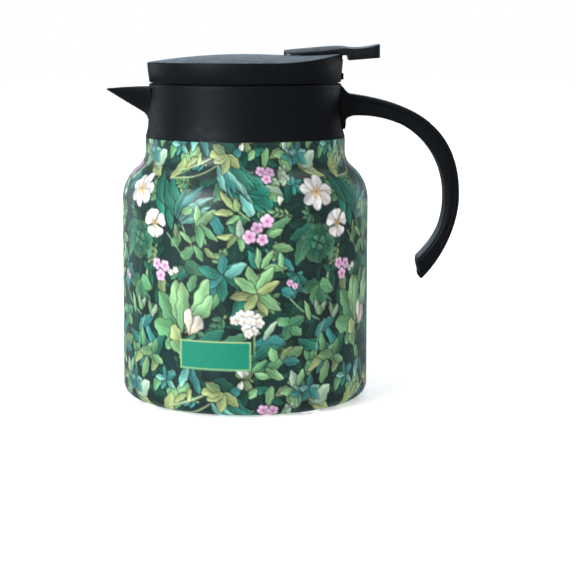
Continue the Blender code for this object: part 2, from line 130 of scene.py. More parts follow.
def shoulder(offset, neck_r, count):
    """Neck, concave arc and convex arc down to the straight wall, at an inward offset."""
    convex_r = SHOULDER_R_CONVEX - offset
    concave_r = SHOULDER_R_CONCAVE + offset
    convex_x = BODY_R - SHOULDER_R_CONVEX
    concave_x = neck_r + concave_r
    reach = convex_r + concave_r
    concave_z = SHOULDER_Z + math.sqrt(reach ** 2 - (concave_x - convex_x) ** 2)
    slope = math.degrees(math.atan2(concave_z - SHOULDER_Z, concave_x - convex_x))
    upper = arc(concave_x, concave_z, concave_r, 180, 180 + slope, count)
    lower = arc(convex_x, SHOULDER_Z, convex_r, slope, 0, count)
    return upper + lower[1:]


def corner(offset, floor_z, radius, count):
    """The rounded corner from the wall to the floor."""
    return arc(BODY_R - offset - radius, floor_z + radius, radius, 0, -90, count)


# ---- mesh helpers

def link(obj, mats=()):
    bpy.context.scene.collection.objects.link(obj)
    for mat in mats:
        obj.data.materials.append(mat)
    return obj


def turned(name, profile):
    """A turned piece from (radius, height) points that run down its outer side."""
    verts = [(r * MM, 0.0, z * MM) for r, z in profile]
    edges = [(i, i + 1) for i in range(len(verts) - 1)]
    if profile[0][0] != 0.0:
        edges.append((len(verts) - 1, 0))
    mesh = bpy.data.meshes.new(name)
    mesh.from_pydata(verts, edges, [])
    obj = link(bpy.data.objects.new(name, mesh))
    screw = obj.modifiers.new("turn", "SCREW")
    screw.axis = "Z"
    screw.angle = math.tau
    screw.steps = FINE_STEPS
    screw.render_steps = FINE_STEPS
    screw.use_merge_vertices = True
    screw.merge_threshold = WELD
    return baked(obj)


def baked(obj):
    """Replace an object by a mesh object of its evaluated, welded mesh."""
    bpy.context.view_layer.update()
    depsgraph = bpy.context.evaluated_depsgraph_get()
    mesh = bpy.data.meshes.new_from_object(obj.evaluated_get(depsgraph))
    mesh.transform(obj.matrix_world)
    edit = bmesh.new()
    edit.from_mesh(mesh)
    bmesh.ops.remove_doubles(edit, verts=edit.verts, dist=WELD)
    edit.to_mesh(mesh)
    edit.free()
    name = obj.name
    mats = [slot.material for slot in obj.material_slots]
    bpy.data.objects.remove(obj, do_unlink=True)
    mesh.name = name
    mesh.materials.clear()
    return link(bpy.data.objects.new(name, mesh), mats)


def solid(name, edit, mats=()):
    """An object from an edit mesh, which is used up."""
    mesh = bpy.data.meshes.new(name)
    edit.to_mesh(mesh)
    edit.free()
    return link(bpy.data.objects.new(name, mesh), mats)


def side_plate(name, outline, half_width):
    """A flat outline of (x, z) points given thickness along Y."""
    curve = bpy.data.curves.new(name, "CURVE")
    curve.dimensions = "2D"
    curve.fill_mode = "BOTH"
    curve.extrude = half_width * MM
    spline = curve.splines.new("POLY")
    spline.points.add(len(outline) - 1)
    for point, (x, z) in zip(spline.points, outline):
        point.co = (x * MM, z * MM, 0.0, 1.0)
    spline.use_cyclic_u = True
    obj = link(bpy.data.objects.new(name, curve))
    obj.rotation_euler = (math.pi / 2, 0.0, 0.0)
    return baked(obj)


def box(name, low, high):
    edit = bmesh.new()
    bmesh.ops.create_cube(edit, size=1.0)
    for vert in edit.verts:
        vert.co = Vector([(low[k] + (vert.co[k] + 0.5) * (high[k] - low[k])) * MM for k in range(3)])
    return solid(name, edit)


def loft(name, sections):
    """A closed solid through equal rings of (x, y, z) points, with flat ends."""
    edit = bmesh.new()
    rings = [[edit.verts.new(Vector(p) * MM) for p in ring] for ring in sections]
    count = len(rings[0])
    for first, second in zip(rings, rings[1:]):
        for i in range(count):
            j = (i + 1) % count
            edit.faces.new((first[i], first[j], second[j], second[i]))
    edit.faces.new(rings[0][::-1])
    edit.faces.new(rings[-1])
    bmesh.ops.recalc_face_normals(edit, faces=edit.faces)
    return solid(name, edit)


def rod_along_y(name, x, z, radius, half_length):
    edit = bmesh.new()
    radius *= MM
    depth = 2 * half_length * MM
    bmesh.ops.create_cone(edit, cap_ends=True, segments=48, radius1=radius, radius2=radius, depth=depth)
    obj = solid(name, edit)
    obj.location = (x * MM, 0.0, z * MM)
    obj.rotation_euler = (math.pi / 2, 0.0, 0.0)
    return obj


def combined(obj, *steps):
    """The piece after its Booleans, each (operation, tool); the tools are used up."""
    for operation, tool in steps:
        modifier = obj.modifiers.new(operation.lower(), "BOOLEAN")
        modifier.operation = operation
        modifier.object = tool
        modifier.solver = "EXACT"
    name = obj.name
    result = baked(obj)
    for _, tool in steps:
        bpy.data.objects.remove(tool, do_unlink=True)
    result.name = name
    return result


def bevelled(obj, width, segments, angle_deg):
    modifier = obj.modifiers.new("edges", "BEVEL")
    modifier.width = width * MM
    modifier.segments = segments
    modifier.limit_method = "ANGLE"
    modifier.angle_limit = math.radians(angle_deg)
    return baked(obj)


def smooth(obj, angle_deg):
    obj.data.shade_smooth()
    obj.data.set_sharp_from_angle(angle=math.radians(angle_deg))


def finished(obj, mat, body, slot, *nodes, angle_deg):
    obj.data.materials.clear()
    obj.data.materials.append(mat)
    smooth(obj, angle_deg)
    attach(obj, body)
    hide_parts(*nodes)
    return obj


def refined(node_name, mat, body, slot):
    """A welded, smooth-shaded skin over one of the frame's own pieces."""
    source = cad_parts[node_name]
    mesh = bpy.data.meshes.new(node_name)
    points = [source.matrix_world @ vert.co for vert in source.data.vertices]
    mesh.from_pydata(points, [], [tuple(face.vertices) for face in source.data.polygons])
    skin = baked(link(bpy.data.objects.new(node_name + "_skin", mesh)))
    return finished(skin, mat, body, slot, node_name, angle_deg=40)


# ---- the botanical print
#
# One tile is painted leaf by leaf on a grid and repeats four times round the body. A place on it is given
# as degrees round the body (0 faces the camera, the spout is at -90) and a height in mm. spot() turns that
# into millimetres across the tile and up the body's outline.

TILE_DEGREES = 90.0
TILE_WIDTH = math.radians(TILE_DEGREES) * BODY_R
TILE_HEIGHT = 111.6
COLUMNS = 720  # vertices round the body
OVERSAMPLE = 3  # painted points to each vertex, each way
TILE_COLUMNS = COLUMNS // 4
TILE_ROWS = 204
MM_PER_DEGREE = TILE_WIDTH / TILE_DEGREES

STAMENS = 9
GROUND = (0.065, 0.185, 0.180)

# Each palette: the leaf's base, its tip, and its midrib and veins, as display colours.
PALETTES = {
    "deep": ((0.04, 0.24, 0.20), (0.13, 0.38, 0.31), (0.24, 0.50, 0.41)),
    "palm": ((0.04, 0.28, 0.23), (0.15, 0.47, 0.38), (0.42, 0.70, 0.58)),
    "emerald": ((0.03, 0.32, 0.27), (0.18, 0.58, 0.49), (0.50, 0.81, 0.71)),
    "forest": ((0.12, 0.35, 0.26), (0.32, 0.58, 0.42), (0.56, 0.76, 0.58)),
    "mid": ((0.20, 0.43, 0.28), (0.46, 0.69, 0.47), (0.70, 0.86, 0.66)),
    "light": ((0.32, 0.54, 0.34), (0.60, 0.78, 0.55), (0.80, 0.91, 0.72)),
    "yellow": ((0.44, 0.54, 0.32), (0.73, 0.78, 0.52), (0.87, 0.89, 0.68)),
    "olive": ((0.32, 0.44, 0.28), (0.58, 0.68, 0.45), (0.78, 0.83, 0.60)),
    "sage": ((0.46, 0.60, 0.50), (0.74, 0.84, 0.72), (0.88, 0.93, 0.84)),
    "aqua": ((0.18, 0.50, 0.47), (0.58, 0.82, 0.75), (0.82, 0.95, 0.90)),
    "teal": ((0.08, 0.38, 0.38), (0.26, 0.60, 0.57), (0.50, 0.80, 0.76)),
    "petal": ((0.88, 0.76, 0.58), (0.97, 0.96, 0.95), (0.84, 0.81, 0.79)),
    "bud": ((0.76, 0.80, 0.68), (0.94, 0.94, 0.93), (0.78, 0.79, 0.74)),
}


def mixed(a, b, t):
    return a + (b - a) * t


def step_up(edge0, edge1, x):
    t = np.clip((x - edge0) / (edge1 - edge0), 0.0, 1.0)
    return t * t * (3.0 - 2.0 * t)


class Tile:
    """A grid of display colours that wraps round at all four edges."""

    def __init__(self, seed):
        self.nx = TILE_COLUMNS * OVERSAMPLE
        self.ny = TILE_ROWS * OVERSAMPLE
        self.dx = TILE_WIDTH / self.nx
        self.dy = TILE_HEIGHT / self.ny
        self.rgb = np.empty((self.ny, self.nx, 3))
        self.rgb[:] = GROUND
        self.rng = np.random.default_rng(seed)

    def patch(self, x, y, reach):
        """Index grids and local millimetre coordinates of the square around a point."""
        ix = np.arange(int((x - reach) / self.dx) - 1, int((x + reach) / self.dx) + 2)
        iy = np.arange(int((y - reach) / self.dy) - 1, int((y + reach) / self.dy) + 2)
        across, up = np.meshgrid((ix + 0.5) * self.dx - x, (iy + 0.5) * self.dy - y)
        return np.ix_(iy % self.ny, ix % self.nx), across, up

    def lay(self, where, color, alpha):
        old = self.rgb[where]
        self.rgb[where] = old + (color - old) * alpha[..., None]

    def shade(self, where, alpha):
        """Darken what is already painted, as the soft shadow under a leaf."""
        self.rgb[where] *= 1.0 - alpha[..., None]

    def jitter(self, amount):
        return 1.0 + self.rng.uniform(-amount, amount)


def leaf(tile, x, y, turn, length, width, palette, bend=0.0, belly=0.42, teeth=0, cut=0.0, veins=6,
         tone=1.0, shadow=0.5, blunt=0.85, lines=0.0, wave=0.10, fade=1.0, edge=0.48):
    """One leaf or petal from its stalk at (x, y), pointing along turn in degrees, 0 right and 90 up.

    belly and blunt shape its root and tip, bend curls it sideways, teeth with cut notch its rim, wave ruffles
    it, lines streaks it from stalk to tip, fade is how far the base colour reaches, edge darkens its outline.
    """
    base, tip, vein = (np.array(c) for c in PALETTES[palette])
    a = math.radians(turn)
    middle_x, middle_y = x + math.cos(a) * length / 2, y + math.sin(a) * length / 2
    where, dx, dy = tile.patch(middle_x, middle_y, (length + width) * 0.62 + abs(bend) * length * 0.5)
    dx = dx + middle_x - x
    dy = dy + middle_y - y
    along = dx * math.cos(a) + dy * math.sin(a)
    aside = -dx * math.sin(a) + dy * math.cos(a)
    u = np.clip(along / length, 0.0, 1.0)
    sway = tile.rng.uniform(-0.035, 0.035) * length
    aside = aside - bend * along * along / length - sway * np.sin(math.tau * u)
    swell = belly * 1.6
    peak = swell / (swell + blunt)
    half = width / 2 * (u / peak) ** swell * ((1.0 - u) / (1.0 - peak)) ** blunt
    ruffle = np.where(aside > 0, *tile.rng.uniform(0, math.tau, 2))
    half = half * (1.0 + wave * np.sin(u * (11.0 + 0.5 * length) + ruffle))
    if teeth:
        phase = u * teeth - 0.35 * np.abs(aside) / (width / 2)
        half = half * (1.0 - cut * (phase - np.floor(phase)) ** 1.5)
    inside = np.minimum(half - np.abs(aside), np.minimum(along, length - along))
    if shadow:
        tile.shade(where, shadow * step_up(-1.0, 0.2, inside))
    v = np.clip(aside / np.maximum(half, 0.05), -1.0, 1.0)
    share = np.clip(u / fade, 0.0, 1.0) ** 0.8 * (0.75 if fade == 1.0 else 1.0) + 0.25 * np.abs(v)
    light = tone * (1.0 + 0.08 * np.tanh(3.0 * v))
    if veins:
        phase = u * veins * 2.0 - 0.9 * np.abs(v)
        ridge = np.abs(phase - np.round(phase)) * 2.0
        light = light * (1.0 + 0.12 * (ridge - 0.5))
    if lines:
        streak = np.cos(v * math.pi * (2.0 + width * 0.7) + 1.5 * np.sin(u * 5.0 + x))
        share = share + 0.28 * lines * streak
        light = light * (1.0 + 0.08 * lines * np.cos(v * math.pi * 11.0 + y))
    color = mixed(base, tip, np.clip(share, 0.0, 1.0)[..., None]) * light[..., None]
    rib = np.exp(-(aside / (0.12 + 0.02 * width * (1.0 - u))) ** 2) * (1.0 - u) ** 0.3
    color = mixed(color, base * 0.8, (0.40 * np.exp(-((aside + 0.35) / 0.28) ** 2))[..., None])
    color = mixed(color, vein, (0.55 * rib)[..., None])
    if veins:
        fine = step_up(0.72, 1.0, 1.0 - ridge) * (1.0 - np.abs(v)) ** 0.4
        color = mixed(color, vein, (0.22 * fine)[..., None])
    pale_rim = np.exp(-((inside - 0.36) / 0.24) ** 2) * (0.25 + 0.75 * (v > 0))
    color = mixed(color, vein, (0.42 * pale_rim)[..., None])
    color = color * (1.0 - edge * (1.0 - step_up(0.0, 0.26, inside)))[..., None]
    tile.lay(where, np.clip(color, 0.0, 1.0), step_up(-0.12, 0.12, inside))


def blade(tile, root, tip, width, palette, **style):
    """A leaf between two places given as (degrees, height)."""
    x0, y0 = spot(*root)
    x1, y1 = spot(*tip)
    turn = math.degrees(math.atan2(y1 - y0, x1 - x0))
    leaf(tile, x0, y0, turn, math.hypot(x1 - x0, y1 - y0), width, palette, **style)


def feather(tile, root, tip, width, palettes, strands, bend, fan, narrow):
    """Long streaked strands side by side that part at the tip, coloured across in the palettes' order."""
    x0, y0 = spot(*root)
    x1, y1 = spot(*tip)
    length = math.hypot(x1 - x0, y1 - y0)
    heading = math.atan2(y1 - y0, x1 - x0)
    for i in tile.rng.permutation(strands):
        side = 2.0 * i / (strands - 1) - 1.0
        sx = x0 - math.sin(heading) * side * width * 0.26
        sy = y0 + math.cos(heading) * side * width * 0.26
        reach = length * (1.0 - 0.20 * abs(side) - 0.22 * tile.rng.uniform())
        turn = math.degrees(heading) + side * fan * 40.0 + tile.rng.uniform(-4, 4)
        palette = palettes[int((side + 1.0) / 2.001 * len(palettes))]
        leaf(tile, sx, sy, turn, reach, width * narrow * tile.jitter(0.25), palette, bend=bend + side * 0.06,
             lines=1.0, veins=0, belly=0.5, tone=tile.jitter(0.12), shadow=0.35, wave=0.16)


def stem(tile, points, width, color):
    """A tapering stalk through (x, y) points."""
    path = np.array(smooth_path(points, 10))
    color = np.array(color)
    for i in range(len(path)):
        radius = width / 2 * (1.0 - 0.45 * i / (len(path) - 1))
        step = path[min(i + 1, len(path) - 1)] - path[i]
        dabs = max(1, int(np.ceil(np.hypot(*step) / (radius * 0.7))))
        for k in range(dabs):
            cx, cy = path[i] + step * k / dabs
            where, dx, dy = tile.patch(cx, cy, radius + 0.6)
            d = np.hypot(dx, dy)
            tone = 1.0 + 0.22 * dy / max(radius, 0.1)
            tile.lay(where, np.clip(color * tone[..., None], 0, 1), step_up(0.14, -0.14, d - radius))


def star(tile, x, y, radius, count, palette, turn, slim, spread=360.0, veins=6, second=None):
    """Leaves that spread from one point, the back ones painted first."""
    order = tile.rng.permutation(count)
    for place, i in enumerate(order):
        share = i / count if spread >= 360.0 else i / max(count - 1, 1)
        heading = turn + spread * share - (0.0 if spread >= 360.0 else spread / 2)
        heading += tile.rng.uniform(-7, 7)
        length = radius * tile.jitter(0.15)
        tone = 0.82 + 0.30 * place / count
        kind = second if second and place % 2 else palette
        leaf(tile, x, y, heading, length, length * slim * 2 * tile.jitter(0.12), kind,
             bend=tile.rng.uniform(-0.12, 0.12), belly=0.48, veins=veins, tone=tone)


def sprig(tile, x, y, turn, length, pairs, leaf_length, palette, bend, slim):
    """A curved stalk with pairs of leaves and one at its end."""
    a = math.radians(turn)

    def at(share):
        along = share * length
        aside = bend * along * along / length
        return (x + along * math.cos(a) - aside * math.sin(a),
                y + along * math.sin(a) + aside * math.cos(a))

    stem(tile, [at(s) for s in (0.0, 0.35, 0.7, 1.0)], 0.75, (0.62, 0.70, 0.42))
    for i in range(pairs):
        share = (i + 0.6) / (pairs + 0.4)
        px, py = at(share)
        lean = turn + math.degrees(math.atan(2 * bend * share))
        size = leaf_length * (1.0 - 0.25 * share) * tile.jitter(0.15)
        for sign in (-1, 1):
            leaf(tile, px, py, lean + sign * tile.rng.uniform(38, 58), size, size * slim * tile.jitter(0.2),
                 palette, bend=-0.12 * sign, tone=tile.jitter(0.14))
    px, py = at(0.97)
    leaf(tile, px, py, turn + math.degrees(math.atan(2 * bend)), leaf_length, leaf_length * slim, palette,
         tone=tile.jitter(0.1))


def flower(tile, x, y, radius, petals, turn, slim, belly, blunt):
    """A white flower with a tan heart, ochre stamens and fine streaks."""
    for i in tile.rng.permutation(petals):
        heading = turn + 360.0 * i / petals + tile.rng.uniform(-7, 7)
        size = radius * tile.jitter(0.10)
        width = size * slim * tile.jitter(0.10)
        leaf(tile, x, y, heading, size, width, "petal", belly=belly, blunt=blunt, veins=0,
             tone=tile.rng.uniform(0.92, 1.02), shadow=0.25, lines=0.45, wave=0.07, fade=0.42, edge=0.28)
    where, dx, dy = tile.patch(x, y, radius * 0.6)
    d = np.hypot(dx, dy) / radius
    tile.lay(where, np.array((0.82, 0.66, 0.44)), 0.55 * np.exp(-(d / 0.20) ** 2))
    for i in range(STAMENS):
        angle = math.tau * i / STAMENS + tile.rng.uniform(-0.3, 0.3)
        reach = radius * tile.rng.uniform(0.18, 0.38)
        tip_x, tip_y = x + reach * math.cos(angle), y + reach * math.sin(angle)
        stem(tile, [(x, y), (tip_x, tip_y)], 0.34, (0.84, 0.68, 0.42))
        where, dx, dy = tile.patch(tip_x, tip_y, 1.0)
        tile.lay(where, np.array((0.66, 0.44, 0.22)), 0.8 * step_up(0.46, 0.20, np.hypot(dx, dy)))
    where, dx, dy = tile.patch(x, y, 1.4)
    tile.lay(where, np.array((0.50, 0.34, 0.18)), 0.7 * step_up(0.75, 0.25, np.hypot(dx, dy)))


def floret(tile, x, y, radius, turn, color, heart):
    """A small round flower with five notched lobes and a dark heart."""
    where, dx, dy = tile.patch(x, y, radius * 1.35)
    angle = np.arctan2(dy, dx) - math.radians(turn)
    d = np.hypot(dx, dy)
    lobes = radius * (0.66 + 0.34 * np.abs(np.cos(2.5 * angle)) ** 0.55)
    inside = lobes - d
    tile.shade(where, 0.42 * step_up(-0.9, 0.1, inside))
    light = 0.90 + 0.14 * (d / radius) + 0.05 * dy / radius
    paint = np.array(color) * light[..., None]
    crease = np.exp(-(np.cos(2.5 * angle) / 0.22) ** 2) * step_up(0.1, 0.6, d / radius)
    paint = paint * (1.0 - 0.16 * crease)[..., None]
    rim = np.exp(-(inside / 0.20) ** 2)
    paint = mixed(paint, np.array((1.0, 0.97, 0.99)), (0.45 * rim)[..., None])
    tile.lay(where, np.clip(paint, 0, 1), step_up(-0.1, 0.12, inside))
    glow = 0.32 * np.exp(-(d / (0.40 * radius)) ** 2)
    tile.lay(where, np.array(heart) * 1.4, glow)
    tile.lay(where, np.array(heart), 0.85 * step_up(0.12 * radius + 0.14, 0.12 * radius - 0.06, d))


PINK = (0.93, 0.75, 0.88)
PINK_HEART = (0.46, 0.10, 0.30)
WHITE = (0.95, 0.94, 0.92)
WHITE_HEART = (0.70, 0.55, 0.36)


def bunch(tile, x, y, radius, spots, color, heart):
    """Florets at offsets given in floret radii."""
    for dx, dy in spots:
        size = radius * tile.jitter(0.1)
        floret(tile, x + dx * radius, y + dy * radius, size, tile.rng.uniform(0, 72), color, heart)


def ruffled_rose(tile, x, y, radius, palette, inner):
    """Rings of broad, round leaves, the outer ring first."""
    for ring, (share, count, kind) in enumerate(((1.0, 7, palette), (0.72, 6, inner), (0.45, 4, palette))):
        start = tile.rng.uniform(0, 60)
        for i in range(count):
            heading = start + 360.0 * i / count
            size = radius * share * tile.jitter(0.1)
            leaf(tile, x, y, heading, size, size * 0.95, kind, belly=0.9, blunt=0.40, veins=7,
                 tone=0.78 + 0.13 * ring + tile.rng.uniform(0, 0.15), shadow=0.4)


def mound(tile, x, y, radius, palette):
    """A pale round flower head of many overlapping petals."""
    for _ in range(16):
        angle = tile.rng.uniform(0, 360)
        reach = radius * math.sqrt(tile.rng.uniform(0, 0.6))
        px, py = x + reach * math.cos(math.radians(angle)), y + reach * math.sin(math.radians(angle))
        leaf(tile, px, py, angle, radius * 0.5, radius * 0.45, palette, belly=0.9, blunt=0.4, veins=2,
             tone=tile.rng.uniform(0.85, 1.05), shadow=0.25)


# ---- the tile's layout

def print_outline():
    """The body's outline from the collar's seam down to the floor."""
    return [(NECK_R, SEAM_Z - 0.2)] + shoulder(0.0, NECK_R, 48) + corner(0.0, SHELL_FLOOR_Z, CORNER_R, 24)


OUTLINE = np.array(print_outline())
OUTLINE_STEPS = np.hypot(*np.diff(OUTLINE, axis=0).T)
OUTLINE_LENGTH = OUTLINE_STEPS.sum()
OUTLINE_UP = OUTLINE_LENGTH - np.concatenate([[0.0], np.cumsum(OUTLINE_STEPS)])


def spot(degrees, z):
    """Tile coordinates of a place on the body."""
    return degrees * MM_PER_DEGREE, float(np.interp(z, OUTLINE[::-1, 1], OUTLINE_UP[::-1]))


def scatter(tile, across, up):
    """Jittered grid points over the tile, in a shuffled order."""
    places = []
    for row in range(up):
        for col in range(across):
            x = (col + 0.5 * (row % 2) + tile.rng.uniform(0.1, 0.9)) / across * TILE_WIDTH
            y = (row + tile.rng.uniform(0.1, 0.9)) / up * TILE_HEIGHT
            places.append((x, y))
    return [places[i] for i in tile.rng.permutation(len(places))]


def paint_background(tile):
    """Dark leaves in the shade, then small filling sprigs and leaves."""
    rng = tile.rng
    for x, y in scatter(tile, 9, 11):
        where, dx, dy = tile.patch(x, y, 9.0)
        glow = np.exp(-(dx * dx + dy * dy) / 22.0)
        tile.lay(where, np.array((0.09, 0.27, 0.26)), 0.5 * rng.uniform(0, 1) * glow)
    for x, y in scatter(tile, 10, 13):
        leaf(tile, x, y, rng.uniform(0, 360), rng.uniform(9, 15), rng.uniform(4.0, 6.5), "deep",
             bend=rng.uniform(-0.3, 0.3), tone=rng.uniform(0.65, 1.05), shadow=0.35, lines=0.8, veins=0,
             wave=0.15)
    kinds = ("forest", "palm", "mid", "teal", "olive", "forest", "light", "emerald", "mid")
    for i, (x, y) in enumerate(scatter(tile, 8, 10)):
        kind = kinds[i % len(kinds)]
        turn = rng.uniform(0, 360)
        if i % 4 == 0:
            sprig(tile, x, y, turn, rng.uniform(7, 11), 3, rng.uniform(4.2, 5.8), kind,
                  bend=rng.uniform(-0.3, 0.3), slim=0.46)
        elif i % 4 == 1:
            star(tile, x, y, rng.uniform(5.0, 7.5), int(rng.integers(3, 6)), kind, turn=turn,
                 slim=rng.uniform(0.20, 0.27), spread=rng.uniform(150, 250))
        else:
            leaf(tile, x, y, turn, rng.uniform(8, 13), rng.uniform(3.6, 5.4), kind,
                 bend=rng.uniform(-0.35, 0.35), veins=8, lines=0.6)


# Each leaf: degrees and height of its root, degrees and height of its tip, width in mm, palette and bend.
BACK_LEAVES = """
-41 108 -31 88 5 palm .08; -44 106 -37 88 4.6 emerald -.1; -38 110 -29 92 4 emerald .12;
-31 86 -25 100 3.4 palm -.15; -46 96 -50 80 4.5 palm .1; -43 24 -49 43 4.6 teal .15;
-43 24 -41 44 4.4 emerald -.12; -44 26 -56 36 3.6 teal .1; 33 36 43 48 5 teal -.2;
39 30 27 37 5.5 emerald .2; 24 36 34 28 5 emerald .2; 4 34 18 33 9 teal .15; 4 28 14 35 6 emerald -.2;
2 60 -8 46 5 emerald .1; -22 33 -8 38 7 palm .2; -11 32 1 37 6.5 forest .2; 20 82 36 90 7 palm -.2;
42 84 38 72 6 forest .3; 26 84 27 70 6.5 forest -.3; -27 72 -20 64 6.5 forest .2; -30 74 -22 76 5.5 mid .2;
14 76 20 66 5 teal .2; -2 124 -8 116 4 teal .1; 43 112 50 96 4.4 palm .1
"""
FRONT_LEAVES = """
-21 86 -21 98 4 light .05; -22 88 -12 95 4.2 light .08; -20 89 -13 80 3.4 mid .15;
-21 88 -19 78 4.4 mid -.1; -24 96 -29 93 4 light -.1; -24 80 -30 86 2.6 light .1;
-32 82 -32 89 2.6 olive .1; -19 72 -22 80 3.4 mid .2; -18 78 -14 73 3 olive .1; -5 94 -14 96 3.4 yellow .2;
-4 95 -12 104 3 yellow -.05; -2 93 -9 90 2.6 light .1; -3 95 -4 101 3.2 olive .1; -1 80 -5 91 4 sage -.25;
-3 82 -12 86 3.2 yellow .25; -4 84 -9 79 2.6 olive .2; -1 84 -3 77 3.4 light .2; 9 84 20 93 4.6 mid -.1;
10 84 17 86 3.6 light .1; 17 102 5 107 6 sage .12; 16 102 9 100 4.4 light -.15; 28 118 42 108 6 yellow .12;
27 119 39 114 5.4 sage -.2; 20 114 17 106 5 sage .05; 12 123 9 114 4.2 light .1; 20 122 13 119 4 olive .1;
20 122 22 112 5.6 light .05; 19 124 26 125 4 light .1; 5 122 2 117 3.6 light -.1;
-34 122 -36 112 6.4 light .12; -35 118 -38 108 6 yellow -.1; -25 121 -27 115 2.8 yellow .1;
12 79 22 78 4.4 light -.1; 5 69 2 78 3.6 emerald .1; 6 69 6 79 3 light .1; 7 69 12 78 3.2 light -.1;
8 69 19 70 3.6 light -.1; 17 69 14 76 3 light -.2; 16 59 22 56 5 teal .1; 35 60 26 61 7 forest .3;
34 60 31 51 7 mid .1; 35 60 39 51 6.5 forest -.1; 35 60 43 60 7 mid -.3; 30 44 28 54 2.8 light .1;
35 46 33 54 3 sage .1; 35 46 38 53 3 sage -.1; 35 46 35 51 3.4 light 0; 20 42 15 47 5.5 mid .2;
20 42 26 47 5.5 forest -.2; 20 42 17 36 5.5 forest .1; 21 42 25 37 5 mid .1; 8 36 13 46 3 sage -.15;
3 21 9 28 3 mid -.1; 4 21 13 17 3.6 light .2; 9 23 17 17 4.4 light .1; 10 24 18 26 4.4 mid .1;
13 26 12 33 4.6 light .1; 16 27 22 32 4.8 olive .1; 19 28 27 31 5.4 light .1; 17 26 25 26 4.4 teal -.1;
23 13 21 22 4.4 sage .05; 24 14 27 22 3.4 light .05; 23 12 15 12 3.8 light .1; 23 12 23 4 6.5 light .05;
36 14 41 25 5 light .1; 33 5 40 14 7.5 sage -.15; 38 27 35 38 3.8 mid -.1; 38 27 28 22 4 yellow .15;
40 27 45 25 4.4 mid .1; 39 27 44 32 3.4 light -.1; -47 27 -56 28 4.6 light .1; -46 27 -43 34 4 mid .1;
-46 26 -40 22 4 light .1; -47 44 -48 52 3 light .1; -47 44 -43 50 3 sage .1; -33 20 -38 17 3.2 aqua .1;
-26 22 -32 14 4.4 aqua .2; -24 22 -22 10 4.2 teal .1; -27 10 -34 6 3 yellow .1
"""
FAN_LEAVES = """
-29 36 -44 55 8 mid -.10; -29 38 -35 62 8 light -.12; -29 38 -28 62 6.6 light .06; -30 36 -44 44 9 mid .12;
-28 38 -13 62 6.8 light .14; -28 40 -12 53 6.6 light .22; -30 36 -39 33 6.4 mid .20;
-29 32 -36 40 6.6 yellow -.2; -30 28 -33 35 5.4 light .2
"""


def paint_leaves(tile, leaves, **style):
    """Paint one of the lists above, in its order."""
    for words in (row.split() for row in leaves.split(";")):
        x0, z0, x1, z1, width = (float(word) for word in words[:5])
        blade(tile, (x0, z0), (x1, z1), width, words[5], bend=float(words[6]), tone=tile.jitter(0.07),
              lines=0.6, veins=5, **style)


def paint_foliage(tile):
    """The large leaves and clusters, from the back of the picture to its front."""
    paint_leaves(tile, BACK_LEAVES)
    cream = (0.70, 0.76, 0.56)
    stem(tile, [spot(-37, 84), spot(-32, 78), spot(-28, 73)], 0.6, (0.52, 0.64, 0.44))
    stem(tile, [spot(-29, 88), spot(-25, 80), spot(-19, 73)], 0.6, (0.55, 0.66, 0.46))
    stem(tile, [spot(2, 91), spot(-4, 96), spot(-8, 100)], 0.7, (0.62, 0.70, 0.46))
    stem(tile, [spot(20, 55), spot(26, 49), spot(35, 44)], 0.7, (0.58, 0.68, 0.50))
    stem(tile, [spot(4, 38), spot(4, 29)], 0.8, (0.56, 0.68, 0.46))
    stem(tile, [spot(3, 21), spot(13, 24), spot(24, 31)], 0.7, (0.40, 0.56, 0.36))
    stem(tile, [spot(-52, 44), spot(-56, 34), spot(-57, 22)], 0.6, (0.55, 0.68, 0.52))
    feather(tile, (-31, 90), (-15, 108), 9.0, ("aqua", "aqua", "teal", "emerald"),
            strands=9, bend=-0.2, fan=0.6, narrow=0.34)
    ruffled_rose(tile, *spot(34, 80), 8.5, "forest", "palm")
    paint_leaves(tile, FRONT_LEAVES)
    stem(tile, [spot(-37, 112), spot(-26, 115), spot(-15, 120)], 1.2, cream)
    stem(tile, [spot(-39, 109), spot(-26, 110), spot(-15, 115)], 1.1, cream)
    blade(tile, (-9, 119), (6, 95), 15.0, "emerald", belly=0.55, blunt=0.55, bend=0.06, lines=1.0, veins=0)
    feather(tile, (-11.5, 118), (1.5, 97), 18.0, ("aqua", "teal", "aqua", "aqua", "emerald", "palm"),
            strands=17, bend=0.08, fan=0.16, narrow=0.19)
    blade(tile, (1, 103), (12, 97), 6.0, "emerald", belly=0.9, blunt=0.45, lines=1.0, veins=0, teeth=4,
          cut=0.3)
    blade(tile, (-3, 104), (3, 93), 5.0, "aqua", belly=0.9, blunt=0.45, lines=1.0, veins=0, wave=0.15)
    star(tile, *spot(-10, 66), 11.0, 6, "emerald", turn=95, slim=0.21, second="teal", veins=8)
    leaf(tile, *spot(-9, 66), 22, 11.5, 5.2, "aqua", bend=0.1, lines=0.5)
    leaf(tile, *spot(-11, 66), 172, 11.0, 5.2, "emerald", bend=-0.15, lines=0.5)
    star(tile, *spot(26, 119), 6.0, 6, "teal", turn=15, slim=0.24, second="aqua")
    star(tile, *spot(30, 12), 6.5, 5, "teal", turn=90, slim=0.26, second="aqua")
    star(tile, *spot(52, 16), 6.5, 5, "teal", turn=30, slim=0.22, second="aqua")
    paint_leaves(tile, FAN_LEAVES, belly=0.6, blunt=0.65, wave=0.14)
    star(tile, *spot(5, 58), 12.5, 8, "yellow", turn=14, slim=0.20, second="light", veins=7)
    star(tile, *spot(-10, 120), 9.5, 3, "yellow", turn=262, slim=0.26, spread=116, veins=7)
    leaf(tile, *spot(-11, 121), 196, 9.5, 5.4, "yellow", bend=-0.1)
    leaf(tile, *spot(-11, 121), 160, 8.0, 4.4, "olive", bend=-0.1)


